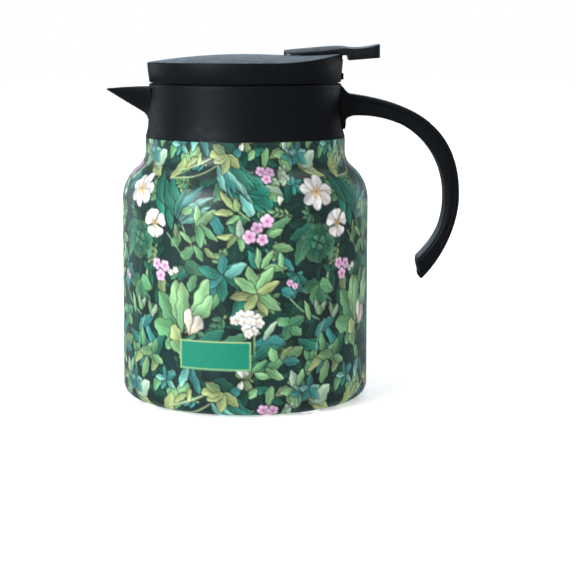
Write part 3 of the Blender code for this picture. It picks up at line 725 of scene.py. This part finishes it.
def wash_over(tile):
    """Slow light and dark patches over the whole tile, as watercolour has."""
    across = np.arange(tile.nx) / tile.nx * math.tau
    up = np.arange(tile.ny)[:, None] / tile.ny * math.tau
    field = np.zeros((tile.ny, tile.nx))
    for _ in range(40):
        waves_x, waves_y = tile.rng.integers(-9, 10, 2)
        field += np.cos(waves_x * across + waves_y * up + tile.rng.uniform(0, math.tau))
    field /= field.std()
    tile.rgb *= (1.0 + 0.07 * field)[..., None]


def paint_flowers(tile):
    flower(tile, *spot(34, 103), 9.0, 7, turn=12, slim=0.62, belly=0.72, blunt=0.66)
    flower(tile, *spot(45.5, 88), 7.0, 5, turn=18, slim=1.02, belly=0.95, blunt=0.36)
    leaf(tile, *spot(-26, 37), 88, 13.0, 4.6, "petal", belly=0.7, blunt=0.6, veins=3, tone=0.97)
    leaf(tile, *spot(-26, 37), 44, 11.0, 6.0, "petal", belly=1.0, blunt=0.45, veins=3, bend=0.2)
    head = ((-2.4, 0.6), (-1.2, 1.5), (0.4, 1.6), (1.9, 1.0), (2.2, 0.0), (-0.8, 0.3), (0.6, 0.2),
            (-0.2, -1.1), (1.2, -1.5), (0.2, -2.0))
    bunch(tile, *spot(1, 44), 2.4, head, WHITE, WHITE_HEART)
    for heading in (70, 105, 250):
        leaf(tile, *spot(-1, 18), heading, 4.6, 3.0, "bud", belly=0.9, blunt=0.45, veins=3)
    bunch(tile, *spot(-35, 66), 1.6, ((0.0, 0.0), (1.6, 0.7), (-1.3, 1.0)), WHITE, WHITE_HEART)
    leaf(tile, *spot(15, 97), 80, 5.0, 3.0, "bud", belly=0.9, blunt=0.45, veins=3)
    mound(tile, *spot(17, 111), 5.6, "sage")
    for place, radius, spots in (((10, 111), 2.7, ((-0.8, 0.7), (0.9, 0.5), (0.1, -1.0))),
                                 ((6, 86), 3.1, ((1.2, 1.5), (-0.3, 0.5), (-1.4, -0.8), (0.5, -1.2))),
                                 ((20, 62), 1.7, ((0.0, 0.0), (1.5, -0.9))),
                                 ((49, 67), 2.9, ((-0.8, 0.8), (0.9, 0.6), (0.0, -1.0)))):
        bunch(tile, *spot(*place), radius, spots, PINK, PINK_HEART)


LABEL_DEGREES = (-30.0, 2.5)
LABEL_Z = (22.0, 35.5)
LABEL_FILL = (0.0, 0.53, 0.42)
LABEL_BORDER = (0.80, 0.80, 0.54)
LABEL_LINE = 0.38


def to_linear(color):
    return np.where(color <= 0.04045, color / 12.92, ((color + 0.055) / 1.055) ** 2.4)


def print_colors(heights):
    """Linear colours for rows at the given outline heights and COLUMNS places round the body."""
    tile = Tile(619)
    paint_background(tile)
    paint_foliage(tile)
    paint_flowers(tile)
    wash_over(tile)
    cells = tile.rgb.reshape(TILE_ROWS, OVERSAMPLE, TILE_COLUMNS, OVERSAMPLE, 3).mean(axis=(1, 3))
    rows = np.floor(heights / (TILE_HEIGHT / TILE_ROWS)).astype(int) % TILE_ROWS
    painted = np.tile(cells[rows], (1, 4, 1))
    degrees = (np.arange(COLUMNS) + 0.5) * 360.0 / COLUMNS
    degrees = (degrees + 180.0) % 360.0 - 180.0
    middle = sum(LABEL_DEGREES) / 2
    across = np.abs(degrees - middle) * MM_PER_DEGREE - (LABEL_DEGREES[1] - middle) * MM_PER_DEGREE
    low, high = (spot(0.0, z)[1] for z in LABEL_Z)
    up = np.abs(heights - (low + high) / 2) - (high - low) / 2
    outside = np.maximum(across[None, :], up[:, None])
    fill = step_up(0.3, -0.3, outside)[..., None]
    painted = mixed(painted, np.array(LABEL_FILL), fill)
    line = np.exp(-((outside + 0.35) / LABEL_LINE) ** 2)[..., None]
    painted = mixed(painted, np.array(LABEL_BORDER), 0.85 * line)
    return to_linear(np.clip(painted, 0.0, 1.0))


def make_body(print_mat, steel_mat):
    """The outer shell as one closed skin; its printed rows carry the painted colours."""
    pitch = TILE_HEIGHT / TILE_ROWS
    heights = (np.arange(int(OUTLINE_LENGTH / pitch)) + 0.5) * pitch
    heights = np.concatenate([[0.02], heights, [OUTLINE_LENGTH - 0.02]])[::-1]
    along = OUTLINE_LENGTH - heights
    path = OUTLINE_LENGTH - OUTLINE_UP
    printed = np.stack([np.interp(along, path, OUTLINE[:, k]) for k in (0, 1)], axis=1)
    wall = SHELL_WALL
    inner = [(UPPER_NECK_R - wall, SHELL_TOP_Z), (UPPER_NECK_R - wall, SEAM_Z - wall),
             (NECK_R - wall, SEAM_Z - wall - 0.2)]
    inner += shoulder(wall, NECK_R - wall, 5)
    inner += corner(wall, SHELL_FLOOR_Z + wall, CORNER_R - wall, 4)
    inner.append((46.4, SHELL_FLOOR_Z + wall))
    neck = [(UPPER_NECK_R, SHELL_TOP_Z), (UPPER_NECK_R, SEAM_Z), (NECK_R - 0.2, SEAM_Z)]
    profile = np.concatenate([neck, printed, [(46.4, SHELL_FLOOR_Z)], inner[::-1]])
    angles = np.radians((np.arange(COLUMNS) + 0.5) * 360.0 / COLUMNS - 90.0)
    verts = np.empty((len(profile), COLUMNS, 3))
    verts[:, :, 0] = profile[:, :1] * np.cos(angles)
    verts[:, :, 1] = profile[:, :1] * np.sin(angles)
    verts[:, :, 2] = profile[:, 1:]
    index = np.arange(len(profile) * COLUMNS).reshape(len(profile), COLUMNS)
    below = np.roll(index, -1, axis=0)
    quads = np.stack([index, below, np.roll(below, -1, axis=1), np.roll(index, -1, axis=1)], axis=-1)
    mesh = bpy.data.meshes.new("printed_body")
    mesh.from_pydata((verts * MM).reshape(-1, 3), [], quads.reshape(-1, 4).tolist())
    first = len(neck)
    slots = np.ones((len(profile), COLUMNS), dtype=np.int32)
    slots[first - 1:first + len(printed)] = 0
    mesh.polygons.foreach_set("material_index", slots.ravel())
    colors = np.ones((len(profile), COLUMNS, 4))
    colors[:, :, :3] = to_linear(np.array(GROUND))
    colors[first:first + len(printed), :, :3] = print_colors(heights)
    colors[first - 1] = colors[first]
    layer = mesh.color_attributes.new("print", "FLOAT_COLOR", "POINT")
    layer.data.foreach_set("color", colors.ravel())
    body = link(bpy.data.objects.new("printed_body", mesh), (print_mat, steel_mat))
    smooth(body, 30)
    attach(body, "jug")
    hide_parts("outer_shell")
    return body


# ---- materials

class Nodes:
    """A material's node tree, built call by call on object coordinates."""

    def __init__(self, name, roughness, metallic=0.0, specular=0.5):
        self.mat = bpy.data.materials.new(name)
        self.mat.use_nodes = True
        self.tree = self.mat.node_tree
        self.shader = self.tree.nodes["Principled BSDF"]
        self.shader.inputs["Roughness"].default_value = roughness
        self.shader.inputs["Metallic"].default_value = metallic
        self.shader.inputs["Specular IOR Level"].default_value = specular
        self.place = self.add("ShaderNodeTexCoord").outputs["Object"]

    def add(self, kind, **settings):
        node = self.tree.nodes.new(kind)
        for key, value in settings.items():
            setattr(node, key, value)
        return node

    def join(self, source, target):
        self.tree.links.new(source, target)

    def noise(self, scale, detail, stretch=(1.0, 1.0, 1.0)):
        """Noise whose scale is features per metre."""
        mapping = self.add("ShaderNodeMapping")
        mapping.inputs["Scale"].default_value = stretch
        self.join(self.place, mapping.inputs["Vector"])
        node = self.add("ShaderNodeTexNoise")
        node.inputs["Scale"].default_value = scale
        node.inputs["Detail"].default_value = detail
        node.inputs["Roughness"].default_value = 0.55
        self.join(mapping.outputs["Vector"], node.inputs["Vector"])
        return node.outputs["Fac"]

    def span(self, source, low, high):
        """Noise stretched to run from low to high."""
        node = self.add("ShaderNodeMapRange")
        for key, value in (("From Min", 0.3), ("From Max", 0.7), ("To Min", low), ("To Max", high)):
            node.inputs[key].default_value = value
        self.join(source, node.inputs["Value"])
        return node.outputs["Result"]

    def mottle(self, scale, detail, dark, light):
        """A base colour that noise moves between two tones."""
        node = self.add("ShaderNodeMix", data_type="RGBA")
        self.join(self.span(self.noise(scale, detail), 0.0, 1.0), node.inputs["Factor"])
        node.inputs[6].default_value = (*dark, 1.0)
        node.inputs[7].default_value = (*light, 1.0)
        self.color(node.outputs[2])

    def scaled(self, color, share):
        """A colour times a grey value."""
        node = self.add("ShaderNodeVectorMath", operation="SCALE")
        self.join(color, node.inputs[0])
        self.join(share, node.inputs["Scale"])
        return node.outputs["Vector"]

    def bump(self, height, distance):
        """Bump up to distance in mm."""
        node = self.add("ShaderNodeBump")
        node.inputs["Strength"].default_value = 1.0
        node.inputs["Distance"].default_value = distance * MM
        self.join(height, node.inputs["Height"])
        self.join(node.outputs["Normal"], self.shader.inputs["Normal"])

    def color(self, source):
        self.join(source, self.shader.inputs["Base Color"])

    def roughness(self, source):
        self.join(source, self.shader.inputs["Roughness"])


def print_material():
    nodes = Nodes("printed_coat", 0.42, specular=0.45)
    nodes.shader.inputs["Sheen Weight"].default_value = 0.16
    nodes.shader.inputs["Sheen Roughness"].default_value = 0.4
    nodes.shader.inputs["Sheen Tint"].default_value = (0.75, 0.93, 1.0, 1.0)
    ink = nodes.add("ShaderNodeAttribute", attribute_name="print")
    wash = nodes.span(nodes.noise(420.0, 4.0), 0.94, 1.06)
    nodes.color(nodes.scaled(ink.outputs["Color"], wash))
    nodes.roughness(nodes.span(nodes.noise(900.0, 2.0), 0.34, 0.46))
    nodes.bump(nodes.noise(1500.0, 3.0), 0.012)
    return nodes.mat


def plastic_material(name, tone, roughness, specular=0.16):
    """Matt black plastic with a fine moulded grain and a painted pale-blue tint on its reflections."""
    nodes = Nodes(name, roughness, specular=specular)
    # painted reflection: the reflections are tinted pale blue, standing in for the bluish sky the plastic
    # reflects
    nodes.shader.inputs["Specular Tint"].default_value = (0.80, 0.91, 1.0, 1.0)
    dark = tuple(0.80 * c for c in tone)
    light = tuple(1.25 * c for c in tone)
    nodes.mottle(700.0, 4.0, dark, light)
    nodes.roughness(nodes.span(nodes.noise(250.0, 3.0), roughness - 0.05, roughness + 0.06))
    nodes.bump(nodes.noise(2400.0, 2.0), 0.035)
    return nodes.mat


def brushed_steel(name, roughness, stretch):
    """Drawn stainless steel; stretch is along the brushing."""
    nodes = Nodes(name, roughness, metallic=1.0)
    lines = nodes.noise(2600.0, 2.0, stretch)
    nodes.mottle(60.0, 3.0, (0.50, 0.50, 0.49), (0.66, 0.66, 0.65))
    nodes.roughness(nodes.span(lines, roughness - 0.07, roughness + 0.10))
    nodes.bump(lines, 0.006)
    return nodes.mat


def soft_material(name, tone, roughness, grain, amount):
    """Rubber, silicone or glass: grain is bumps per metre and amount their height in mm."""
    nodes = Nodes(name, roughness)
    nodes.mottle(300.0, 4.0, tuple(0.82 * c for c in tone), tone)
    nodes.roughness(nodes.span(nodes.noise(500.0, 2.0), roughness - 0.06, roughness + 0.08))
    nodes.bump(nodes.noise(grain, 2.0), amount)
    return nodes.mat


# ---- collar, spout and handle

SPOUT_TOP_Z = 149.4
SPOUT_HALF_WIDTH = 13.0
SPOUT_ROOT_X = -44.3
MOUTH_R = 43.6
COLLAR_BORE_R = 44.6
SEAT_Z = 138.6
LEDGE_Z = 136.3
HANDLE_HALF_WIDTH = 8.5
COVER_THICKNESS = 2.7
GAP = 0.3


def collar_outer_profile():
    """The collar's outer side from its rounded top edge down to its flared foot."""
    side = smooth_path([(46.5, 150.2), (46.55, 145.0), (46.7, 137.0), (47.1, 131.0), (47.75, 127.6),
                        (48.2, 126.0)], 6)
    return arc(45.5, 150.2, 1.0, 90, 10, 8) + side[1:] + [(48.3, 125.85), (48.25, COLLAR_BOTTOM_Z)]


def spout_section(x, top, keel, half, count=20):
    """A V of the spout across Y at x, rounded at the keel, closed along its top."""
    ring = []
    for i in range(2 * count + 1):
        share = abs(i - count) / count
        drop = 1.0 - share
        y = half * (1.0 - drop ** 1.9) ** 0.9
        ring.append((x, math.copysign(y, i - count), top - (top - keel) * drop))
    return ring


def spout_solid(name, inset, rise, x_from, x_to, count=26):
    """The beak between two places along X; an inset makes its hollow and rise lifts its top."""
    keel_line = smooth_path([(-67.6, 148.4), (-59.0, 143.1), (-52.0, 138.9), (-49.0, 137.0),
                             (-47.6, 135.4), (-46.8, 133.2), (-46.4, 130.6), (-44.0, 127.0)], 12)
    top_line = [(-67.6, SPOUT_TOP_Z - 0.8), (-60.0, SPOUT_TOP_Z - 0.25), (-52.0, SPOUT_TOP_Z),
                (-40.0, SPOUT_TOP_Z)]
    rings = []
    for i in range(count + 1):
        x = x_from + (x_to - x_from) * i / count
        reach = (x - SPOUT_TIP_X) / (SPOUT_ROOT_X - SPOUT_TIP_X)
        half = 0.75 + (SPOUT_HALF_WIDTH - 0.75) * max(reach, 0.0) ** 0.92 - inset
        keel = float(np.interp(x, *zip(*keel_line))) + inset * 1.15
        top = float(np.interp(x, *zip(*top_line))) + rise
        rings.append(spout_section(x, top, min(keel, top - 0.5), max(half, 0.25)))
    return loft(name, rings)


def make_collar(mat):
    """The neck ring with the beak moulded on, hollowed and opened towards the stopper."""
    inner = [(UPPER_NECK_R + GAP, COLLAR_BOTTOM_Z), (UPPER_NECK_R + GAP, LEDGE_Z), (MOUTH_R, LEDGE_Z),
             (MOUTH_R, SEAT_Z), (COLLAR_BORE_R, SEAT_Z), (COLLAR_BORE_R, 150.5), (45.3, COLLAR_TOP_Z)]
    collar = turned("collar_ring", collar_outer_profile() + inner)
    beak = spout_solid("beak", 0.0, 0.0, SPOUT_TIP_X, -45.2)
    hollow = spout_solid("hollow", 1.9, 1.0, SPOUT_TIP_X + 2.6, -46.2)
    window = loft("window", [
        [(x, 9.0, 148.0), (x, -9.0, 148.0), (x, -6.6, 140.2), (x, 6.6, 140.2)] for x in (-40.0, -48.6)])
    collar = combined(collar, ("UNION", beak), ("DIFFERENCE", hollow), ("DIFFERENCE", window))
    collar = bevelled(collar, 0.22, 2, 50)
    return finished(collar, mat, "jug", "black_plastic", "collar", angle_deg=38)


def handle_outer_path(count=30):
    upper = bezier((52.3, 146.0), (74.4, 142.7), (103.4, 134.9), (103.4, 97.4), count)
    lower = bezier((103.4, 97.4), (103.4, 83.7), (96.6, 67.9), (86.0, 57.0), count * 2 // 3)
    return [(46.0, 146.8)] + upper + lower[1:]


def handle_inner_path(count=30):
    upper = bezier((52.3, 135.8), (80.0, 136.8), (96.7, 118.2), (96.7, 96.0), count)
    lower = bezier((96.7, 96.0), (96.7, 83.3), (92.9, 75.6), (83.9, 66.7), count * 2 // 3)
    return [(46.0, 134.6)] + upper + lower[1:]


def handle_ring(outer, inner, near, far, half, r_near, r_far):
    """A rounded section across the handle between two distances from its outer line."""
    length = math.hypot(inner[0] - outer[0], inner[1] - outer[1])
    ux, uz = (inner[0] - outer[0]) / length, (inner[1] - outer[1]) / length
    far = min(far, length)
    corners = arc(near + r_near, half - r_near, r_near, 180, 90, 6)
    corners += arc(far - r_far, half - r_far, r_far, 90, 0, 6)
    corners += [(s, -y) for s, y in corners[::-1]]
    return [(outer[0] + ux * s, y, outer[1] + uz * s) for s, y in corners]


def make_handle(mat):
    """The C handle: an arm with a saddle on the collar, and a cover along its outer side."""
    pairs = list(zip(handle_outer_path(), handle_inner_path()))
    half = HANDLE_HALF_WIDTH
    rings = [handle_ring(a, b, COVER_THICKNESS - 0.02, 99.0, half, 0.7, 1.8) for a, b in pairs]
    rings.append(handle_ring((85.5, 56.6), (83.6, 65.8), COVER_THICKNESS, 99.0, half - 0.5, 0.6, 2.6))
    rings.append(handle_ring((85.2, 56.9), (83.4, 64.6), COVER_THICKNESS, 99.0, half - 1.4, 0.8, 2.4))
    arm = loft("handle_grip", rings)
    root_line = (((44.0, 150.3), (44.0, 129.2)), ((46.3, 150.1), (48.0, 129.3)),
                 ((47.4, 149.0), (48.4, 130.6)), ((47.9, 148.3), (48.3, 133.6)),
                 ((48.9, 147.2), (49.3, 134.8)), ((50.0, 146.5), (51.3, 135.6)))
    root = loft("root", [handle_ring(a, b, 0.0, 99.0, half, 1.6, 1.8) for a, b in root_line])
    saddle = turned("saddle", [(0.0, 155.0), (46.2, 155.0)]
                    + [(r + 0.05, z) for r, z in collar_outer_profile()] + [(48.35, 120.0), (0.0, 120.0)])
    arm = combined(arm, ("UNION", root), ("DIFFERENCE", saddle))
    finished(arm, mat, "jug", "black_plastic", "handle_arm", angle_deg=30)

    rings = [handle_ring(a, b, 0.0, COVER_THICKNESS, half, 2.1, 0.4) for a, b in pairs]
    rings.append(handle_ring((85.4, 56.5), (83.6, 65.8), 0.2, COVER_THICKNESS, half - 0.5, 1.9, 0.3))
    rings.append(handle_ring((84.9, 56.5), (83.4, 64.6), 0.6, COVER_THICKNESS, half - 1.4, 1.5, 0.3))
    cover = loft("handle_back", rings)
    saddle = turned("saddle", [(0.0, 155.0), (46.9, 155.0), (46.9, 120.0), (0.0, 120.0)])
    cover = combined(cover, ("DIFFERENCE", saddle))
    finished(cover, mat, "jug", "black_plastic", "handle_cover", angle_deg=30)


# ---- lid and lever

LID_RIM_Z = 160.9
LID_R_BOTTOM = 46.2
LID_R_RIM = 47.3
LID_CREST_Z = 165.2
LID_WALL = 1.6
TONGUE_X = 18.7
TONGUE_HALF_WIDTH = 7.7
TONGUE_ROUND = 2.4
PAD_ROUND = 3.2
RAMP_START_X = 13.0
RAMP_END_X = 46.4
RAMP_RISE = 4.3
PIN_BORE_R = 1.55


def ramp(x):
    """How far the lid's top rises at x towards the lever's hinge."""
    t = min(max((x - RAMP_START_X) / (RAMP_END_X - RAMP_START_X), 0.0), 1.0)
    return RAMP_RISE * t * t


def dome(r, crest_z):
    """The height of the lid's top at radius r, before the rear is lifted."""
    return crest_z - (LID_CREST_Z - LID_RIM_Z - 0.4) * (r / LID_R_RIM) ** 2


def make_lid_cover(mat):
    """The domed lid: a turned shell with its rear lifted, the lever's slot, hinge cheeks and a rear tab."""
    edge_r = 0.9
    rim_z = dome(LID_R_RIM - edge_r, LID_CREST_Z)
    outer = [(r, dome(r, LID_CREST_Z)) for r in np.linspace(0.0, LID_R_RIM - edge_r, 32)]
    outer += arc(LID_R_RIM - edge_r, rim_z - edge_r, edge_r, 85, 0, 6)
    outer += [(LID_R_RIM - 0.25, 157.5), (LID_R_BOTTOM + 0.1, LID_BOTTOM_Z + 0.3),
              (LID_R_BOTTOM - 0.2, LID_BOTTOM_Z)]
    inner = [(r, dome(r, LID_CREST_Z - LID_WALL)) for r in np.linspace(0.0, 43.0, 12)]
    inner += [(LID_R_RIM - LID_WALL, LID_RIM_Z - LID_WALL), (LID_R_BOTTOM - LID_WALL, LID_BOTTOM_Z)]
    cover = turned("lid_shell", outer + inner[::-1])
    for vert in cover.data.vertices:
        share = (vert.co.z / MM - LID_BOTTOM_Z) / (LID_RIM_Z - LID_BOTTOM_Z - LID_WALL)
        vert.co.z += ramp(vert.co.x / MM) * min(max(share, 0.0), 1.0) * MM
    cover = combined(
        cover,
        ("UNION", box("rear_tab", (45.2, -4.0, 153.0), (47.3, 4.0, 156.0))),
        ("UNION", box("cheek_a", (40.0, 4.3, 158.4), (45.0, 8.4, 164.8))),
        ("UNION", box("cheek_b", (40.0, -8.4, 158.4), (45.0, -4.3, 164.8))),
        ("DIFFERENCE", box("slot", (22.6, -4.0, 155.6), (45.7, 4.0, 175.0))),
        ("DIFFERENCE", box("notch", (45.2, -8.6, 162.7), (55.0, 8.6, 175.0))),
        ("DIFFERENCE", rod_along_y("bore", PIVOT_X, PIVOT_Z, PIN_BORE_R, 12.0)))
    return finished(cover, mat, "lid", "black_plastic", "lid_cover", angle_deg=38)


def lever_ring(x, top, under, half, crown, count=16):
    """A section of the lever across Y: a crowned top, short sides and a flat underside."""
    ring = []
    for i in range(count + 1):
        t = 2.0 * i / count - 1.0
        ring.append((x, half * t, max(top - crown * abs(t) ** 1.5, under + 0.3)))
    ring += [(x, half, under), (x, 0.0, under), (x, -half, under)]
    return ring


def make_lever(mat):
    """The lever: a crowned plate from the tongue to the thumb pad, and the web that carries pin and fork."""
    top = smooth_path([(18.8, 167.0), (19.6, 167.25), (24.5, 167.75), (30.7, 168.3), (36.0, 168.75),
                       (41.0, 169.1), (44.7, 169.25), (47.5, 169.1), (50.3, 168.65), (54.1, 168.6),
                       (58.7, 169.1), (62.0, 169.75), (64.0, 170.1), (64.7, 170.0)], 6)
    crowns = ((18.0, 1.3), (21.0, 1.9), (36.0, 2.2), (43.0, 1.9), (49.0, 0.9), (60.0, 0.8), (64.7, 0.5))
    start_x, end_x = TONGUE_X, LEVER_HIGH.x - 0.02
    places = np.concatenate([np.linspace(start_x, start_x + TONGUE_ROUND, 9),
                             np.linspace(start_x + 3.0, end_x - PAD_ROUND, 60),
                             np.linspace(end_x - 2.6, end_x, 9)])
    rings = []
    for x in places:
        share = (x - start_x) / (end_x - start_x)
        half = TONGUE_HALF_WIDTH + (LEVER_HALF_WIDTH - TONGUE_HALF_WIDTH) * share
        for ahead, radius in ((x - start_x, TONGUE_ROUND), (end_x - x, PAD_ROUND)):
            if ahead < radius:
                half -= radius - math.sqrt(max(radius ** 2 - (radius - ahead) ** 2, 0.0))
        lid_z = dome(x, LID_CREST_Z) + ramp(min(x, 44.0)) + 0.12
        # The underside follows the lid, steps over its rear edge and then slopes under the pad.
        under = lid_z if x < 45.7 else (164.6 if x < 49.6 else 162.2 + 1.2 * (x - 49.6) / 15.0)
        height = float(np.interp(x, *zip(*top)))
        crown = float(np.interp(x, *zip(*crowns)))
        if x < start_x + 3.0:
            under = max(under, height - 2.4)
        rings.append(lever_ring(x, height, under, half, crown))
    plate = loft("lever_plate", rings)
    web_outline = [(27.0, 166.2), (24.4, 158.6), (6.0, 153.5)]
    web_outline += arc(0.0, 152.6, 1.1, 90, 270, 12)
    web_outline += [(8.0, 151.5), (34.0, 152.4), (40.6, 157.4)]
    web_outline += arc(PIVOT_X, PIVOT_Z, 2.4, -120, 0, 12)
    web_outline += [(45.4, 165.0), (45.2, 167.0)]
    web = side_plate("web", web_outline[::-1], 3.6)
    plate = combined(
        plate,
        ("UNION", web),
        ("DIFFERENCE", box("fork_gap", (-4.0, -2.2, 150.0), (3.6, 2.2, 156.0))),
        ("DIFFERENCE", box("pocket", (51.6, -6.4, 160.0), (62.6, 6.4, 166.6))),
        ("DIFFERENCE", rod_along_y("bore", PIVOT_X, PIVOT_Z, PIN_BORE_R, 6.0)))
    plate = bevelled(plate, 0.22, 2, 55)
    return finished(plate, mat, "lever", "black_plastic", "lever", angle_deg=38)


# ---- everything together

plastic = plastic_material("moulded_plastic", (0.0040, 0.0048, 0.0064), 0.50)
# painted light: the handle's copy of the black plastic is a little lighter, standing in for the light falling
# on its top
handle_plastic_painted_light = plastic_material("handle_plastic_painted_light", (0.0045, 0.0052, 0.0064), 0.44)
# painted sheen: the lid and lever take a lighter, bluer copy of the black plastic, standing in for the
# blue-grey sky reflected on their tops
lid_plastic_painted_sheen = plastic_material("lid_plastic_painted_sheen", (0.0044, 0.0052, 0.0072), 0.46)
lever_plastic_painted_sheen = plastic_material("lever_plastic_painted_sheen", (0.0044, 0.0052, 0.0072), 0.46, specular=0.40)
steel_wall = brushed_steel("drawn_steel", 0.30, (1.0, 1.0, 14.0))
steel_turned = brushed_steel("turned_steel", 0.26, (1.0, 1.0, 30.0))
silicone = soft_material("silicone_rubber", (0.56, 0.56, 0.54), 0.55, 1500.0, 0.010)
pad_rubber = soft_material("pad_rubber", (0.016, 0.017, 0.018), 0.72, 1200.0, 0.05)
seal_glass = soft_material("seal_glass", (0.16, 0.13, 0.09), 0.20, 500.0, 0.004)

make_body(print_material(), steel_wall)
make_collar(plastic)
make_handle(handle_plastic_painted_light)
make_lid_cover(lid_plastic_painted_sheen)
make_lever(lever_plastic_painted_sheen)

SLOTS = {steel_wall: "bare_steel", steel_turned: "bare_steel", plastic: "black_plastic", silicone: "silicone",
         pad_rubber: "pad_rubber"}
SKINS = {
    "jug": {"inner_liner": steel_wall, "base_plate": steel_turned, "base_pad": pad_rubber,
            "neck_gasket": silicone},
    "lid_seal": {"lid_gasket": silicone},
    "lid": {"lid_body": plastic, "lever_pin": steel_turned, "stem_seal": silicone, "seal_cap": plastic},
    "valve": {"valve_stem": steel_turned, "stem_head": plastic, "valve_plug": silicone,
              "plug_washer": steel_turned},
    "infuser": {"infuser_rim": plastic, "infuser_basket": steel_wall},
}
for body_name, skins in SKINS.items():
    for node_name, node_material in skins.items():
        refined(node_name, node_material, body_name, SLOTS[node_material])

KEPT_NODES = {"getter": steel_turned, "vacuum_seal": seal_glass, "valve_spring": steel_turned}
for node_name, node_material in KEPT_NODES.items():
    for material_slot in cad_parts[node_name].material_slots:
        material_slot.material = node_material


# ---- floor, light and camera

def make_floor():
    """A wide white sheet, lit a little from below, that the jug stands on."""
    nodes = Nodes("pale_floor", 0.85, specular=0.2)
    nodes.mottle(3.0, 2.0, (0.88, 0.88, 0.88), (0.91, 0.91, 0.91))
    nodes.shader.inputs["Emission Color"].default_value = (1.0, 1.0, 1.0, 1.0)
    nodes.shader.inputs["Emission Strength"].default_value = 0.50
    edit = bmesh.new()
    bmesh.ops.create_circle(edit, cap_ends=True, segments=96, radius=6.0)
    floor = solid("floor", edit, (nodes.mat,))
    floor.location.z = CAD_BOX[0][2] - 0.0002
    floor.visible_glossy = False


JUG_MIDDLE = (0.0, 0.0, 0.09)
COOL_WHITE = (0.93, 0.97, 1.0)
PALE_BLUE = (0.80, 0.92, 1.0)
SKY_BLUE = (0.62, 0.82, 1.0)

# Each soft box: name, place, width and height, power in watts and tint.
SOFT_BOXES = (
    ("key", (-0.80, -0.80, 0.50), (0.5, 0.6), 13.0, COOL_WHITE),
    ("fill", (0.80, -0.70, 0.35), (0.7, 0.7), 0.5, COOL_WHITE),
    ("back", (0.0, 2.2, 0.85), (1.0, 1.8), 11.5, SKY_BLUE),
    ("left_rim", (-1.3, 1.0, 0.30), (0.6, 0.8), 3.0, PALE_BLUE),
    ("right_rim", (1.3, 1.0, 0.30), (0.6, 0.8), 2.5, PALE_BLUE),
)


def soft_box(name, place, size, power, tint):
    """An area light aimed at the jug, unseen by the camera."""
    data = bpy.data.lights.new(name, "AREA")
    data.shape = "RECTANGLE"
    data.size, data.size_y = size
    data.energy = power
    data.color = tint
    light = link(bpy.data.objects.new(name, data))
    light.visible_camera = False
    light.location = place
    light.rotation_euler = (Vector(JUG_MIDDLE) - Vector(place)).to_track_quat("-Z", "Y").to_euler()


def make_lights():
    """A white studio that the camera sees, a dimmer one that lights the jug, soft boxes and a wide sun."""
    world = bpy.data.worlds.new("studio")
    bpy.context.scene.world = world
    world.use_nodes = True
    tree = world.node_tree
    background = tree.nodes["Background"]
    background.inputs["Color"].default_value = (1.0, 1.0, 1.0, 1.0)
    rays = tree.nodes.new("ShaderNodeLightPath")
    strength = tree.nodes.new("ShaderNodeMapRange")
    strength.inputs["To Min"].default_value = 0.18
    strength.inputs["To Max"].default_value = 1.0
    tree.links.new(rays.outputs["Is Camera Ray"], strength.inputs["Value"])
    tree.links.new(strength.outputs["Result"], background.inputs["Strength"])
    for row in SOFT_BOXES:
        soft_box(*row)
    sun = bpy.data.lights.new("overhead", "SUN")
    sun.energy = 1.3
    sun.angle = math.radians(70.0)
    link(bpy.data.objects.new("overhead", sun)).rotation_euler = (math.radians(-12.0), 0.0, 0.0)


def make_camera():
    data = bpy.data.cameras.new("camera")
    data.lens = 99.8
    data.sensor_width = 36.0
    data.shift_x = 0.0739
    data.shift_y = -0.1383
    camera = link(bpy.data.objects.new("camera", data))
    camera.location = (0.0001, -0.7744, 0.1726)
    camera.rotation_euler = (math.radians(90.0 - 6.07), 0.0, 0.0)
    bpy.context.scene.camera = camera


make_floor()
make_lights()
make_camera()
bpy.context.scene.view_settings.view_transform = "Standard"
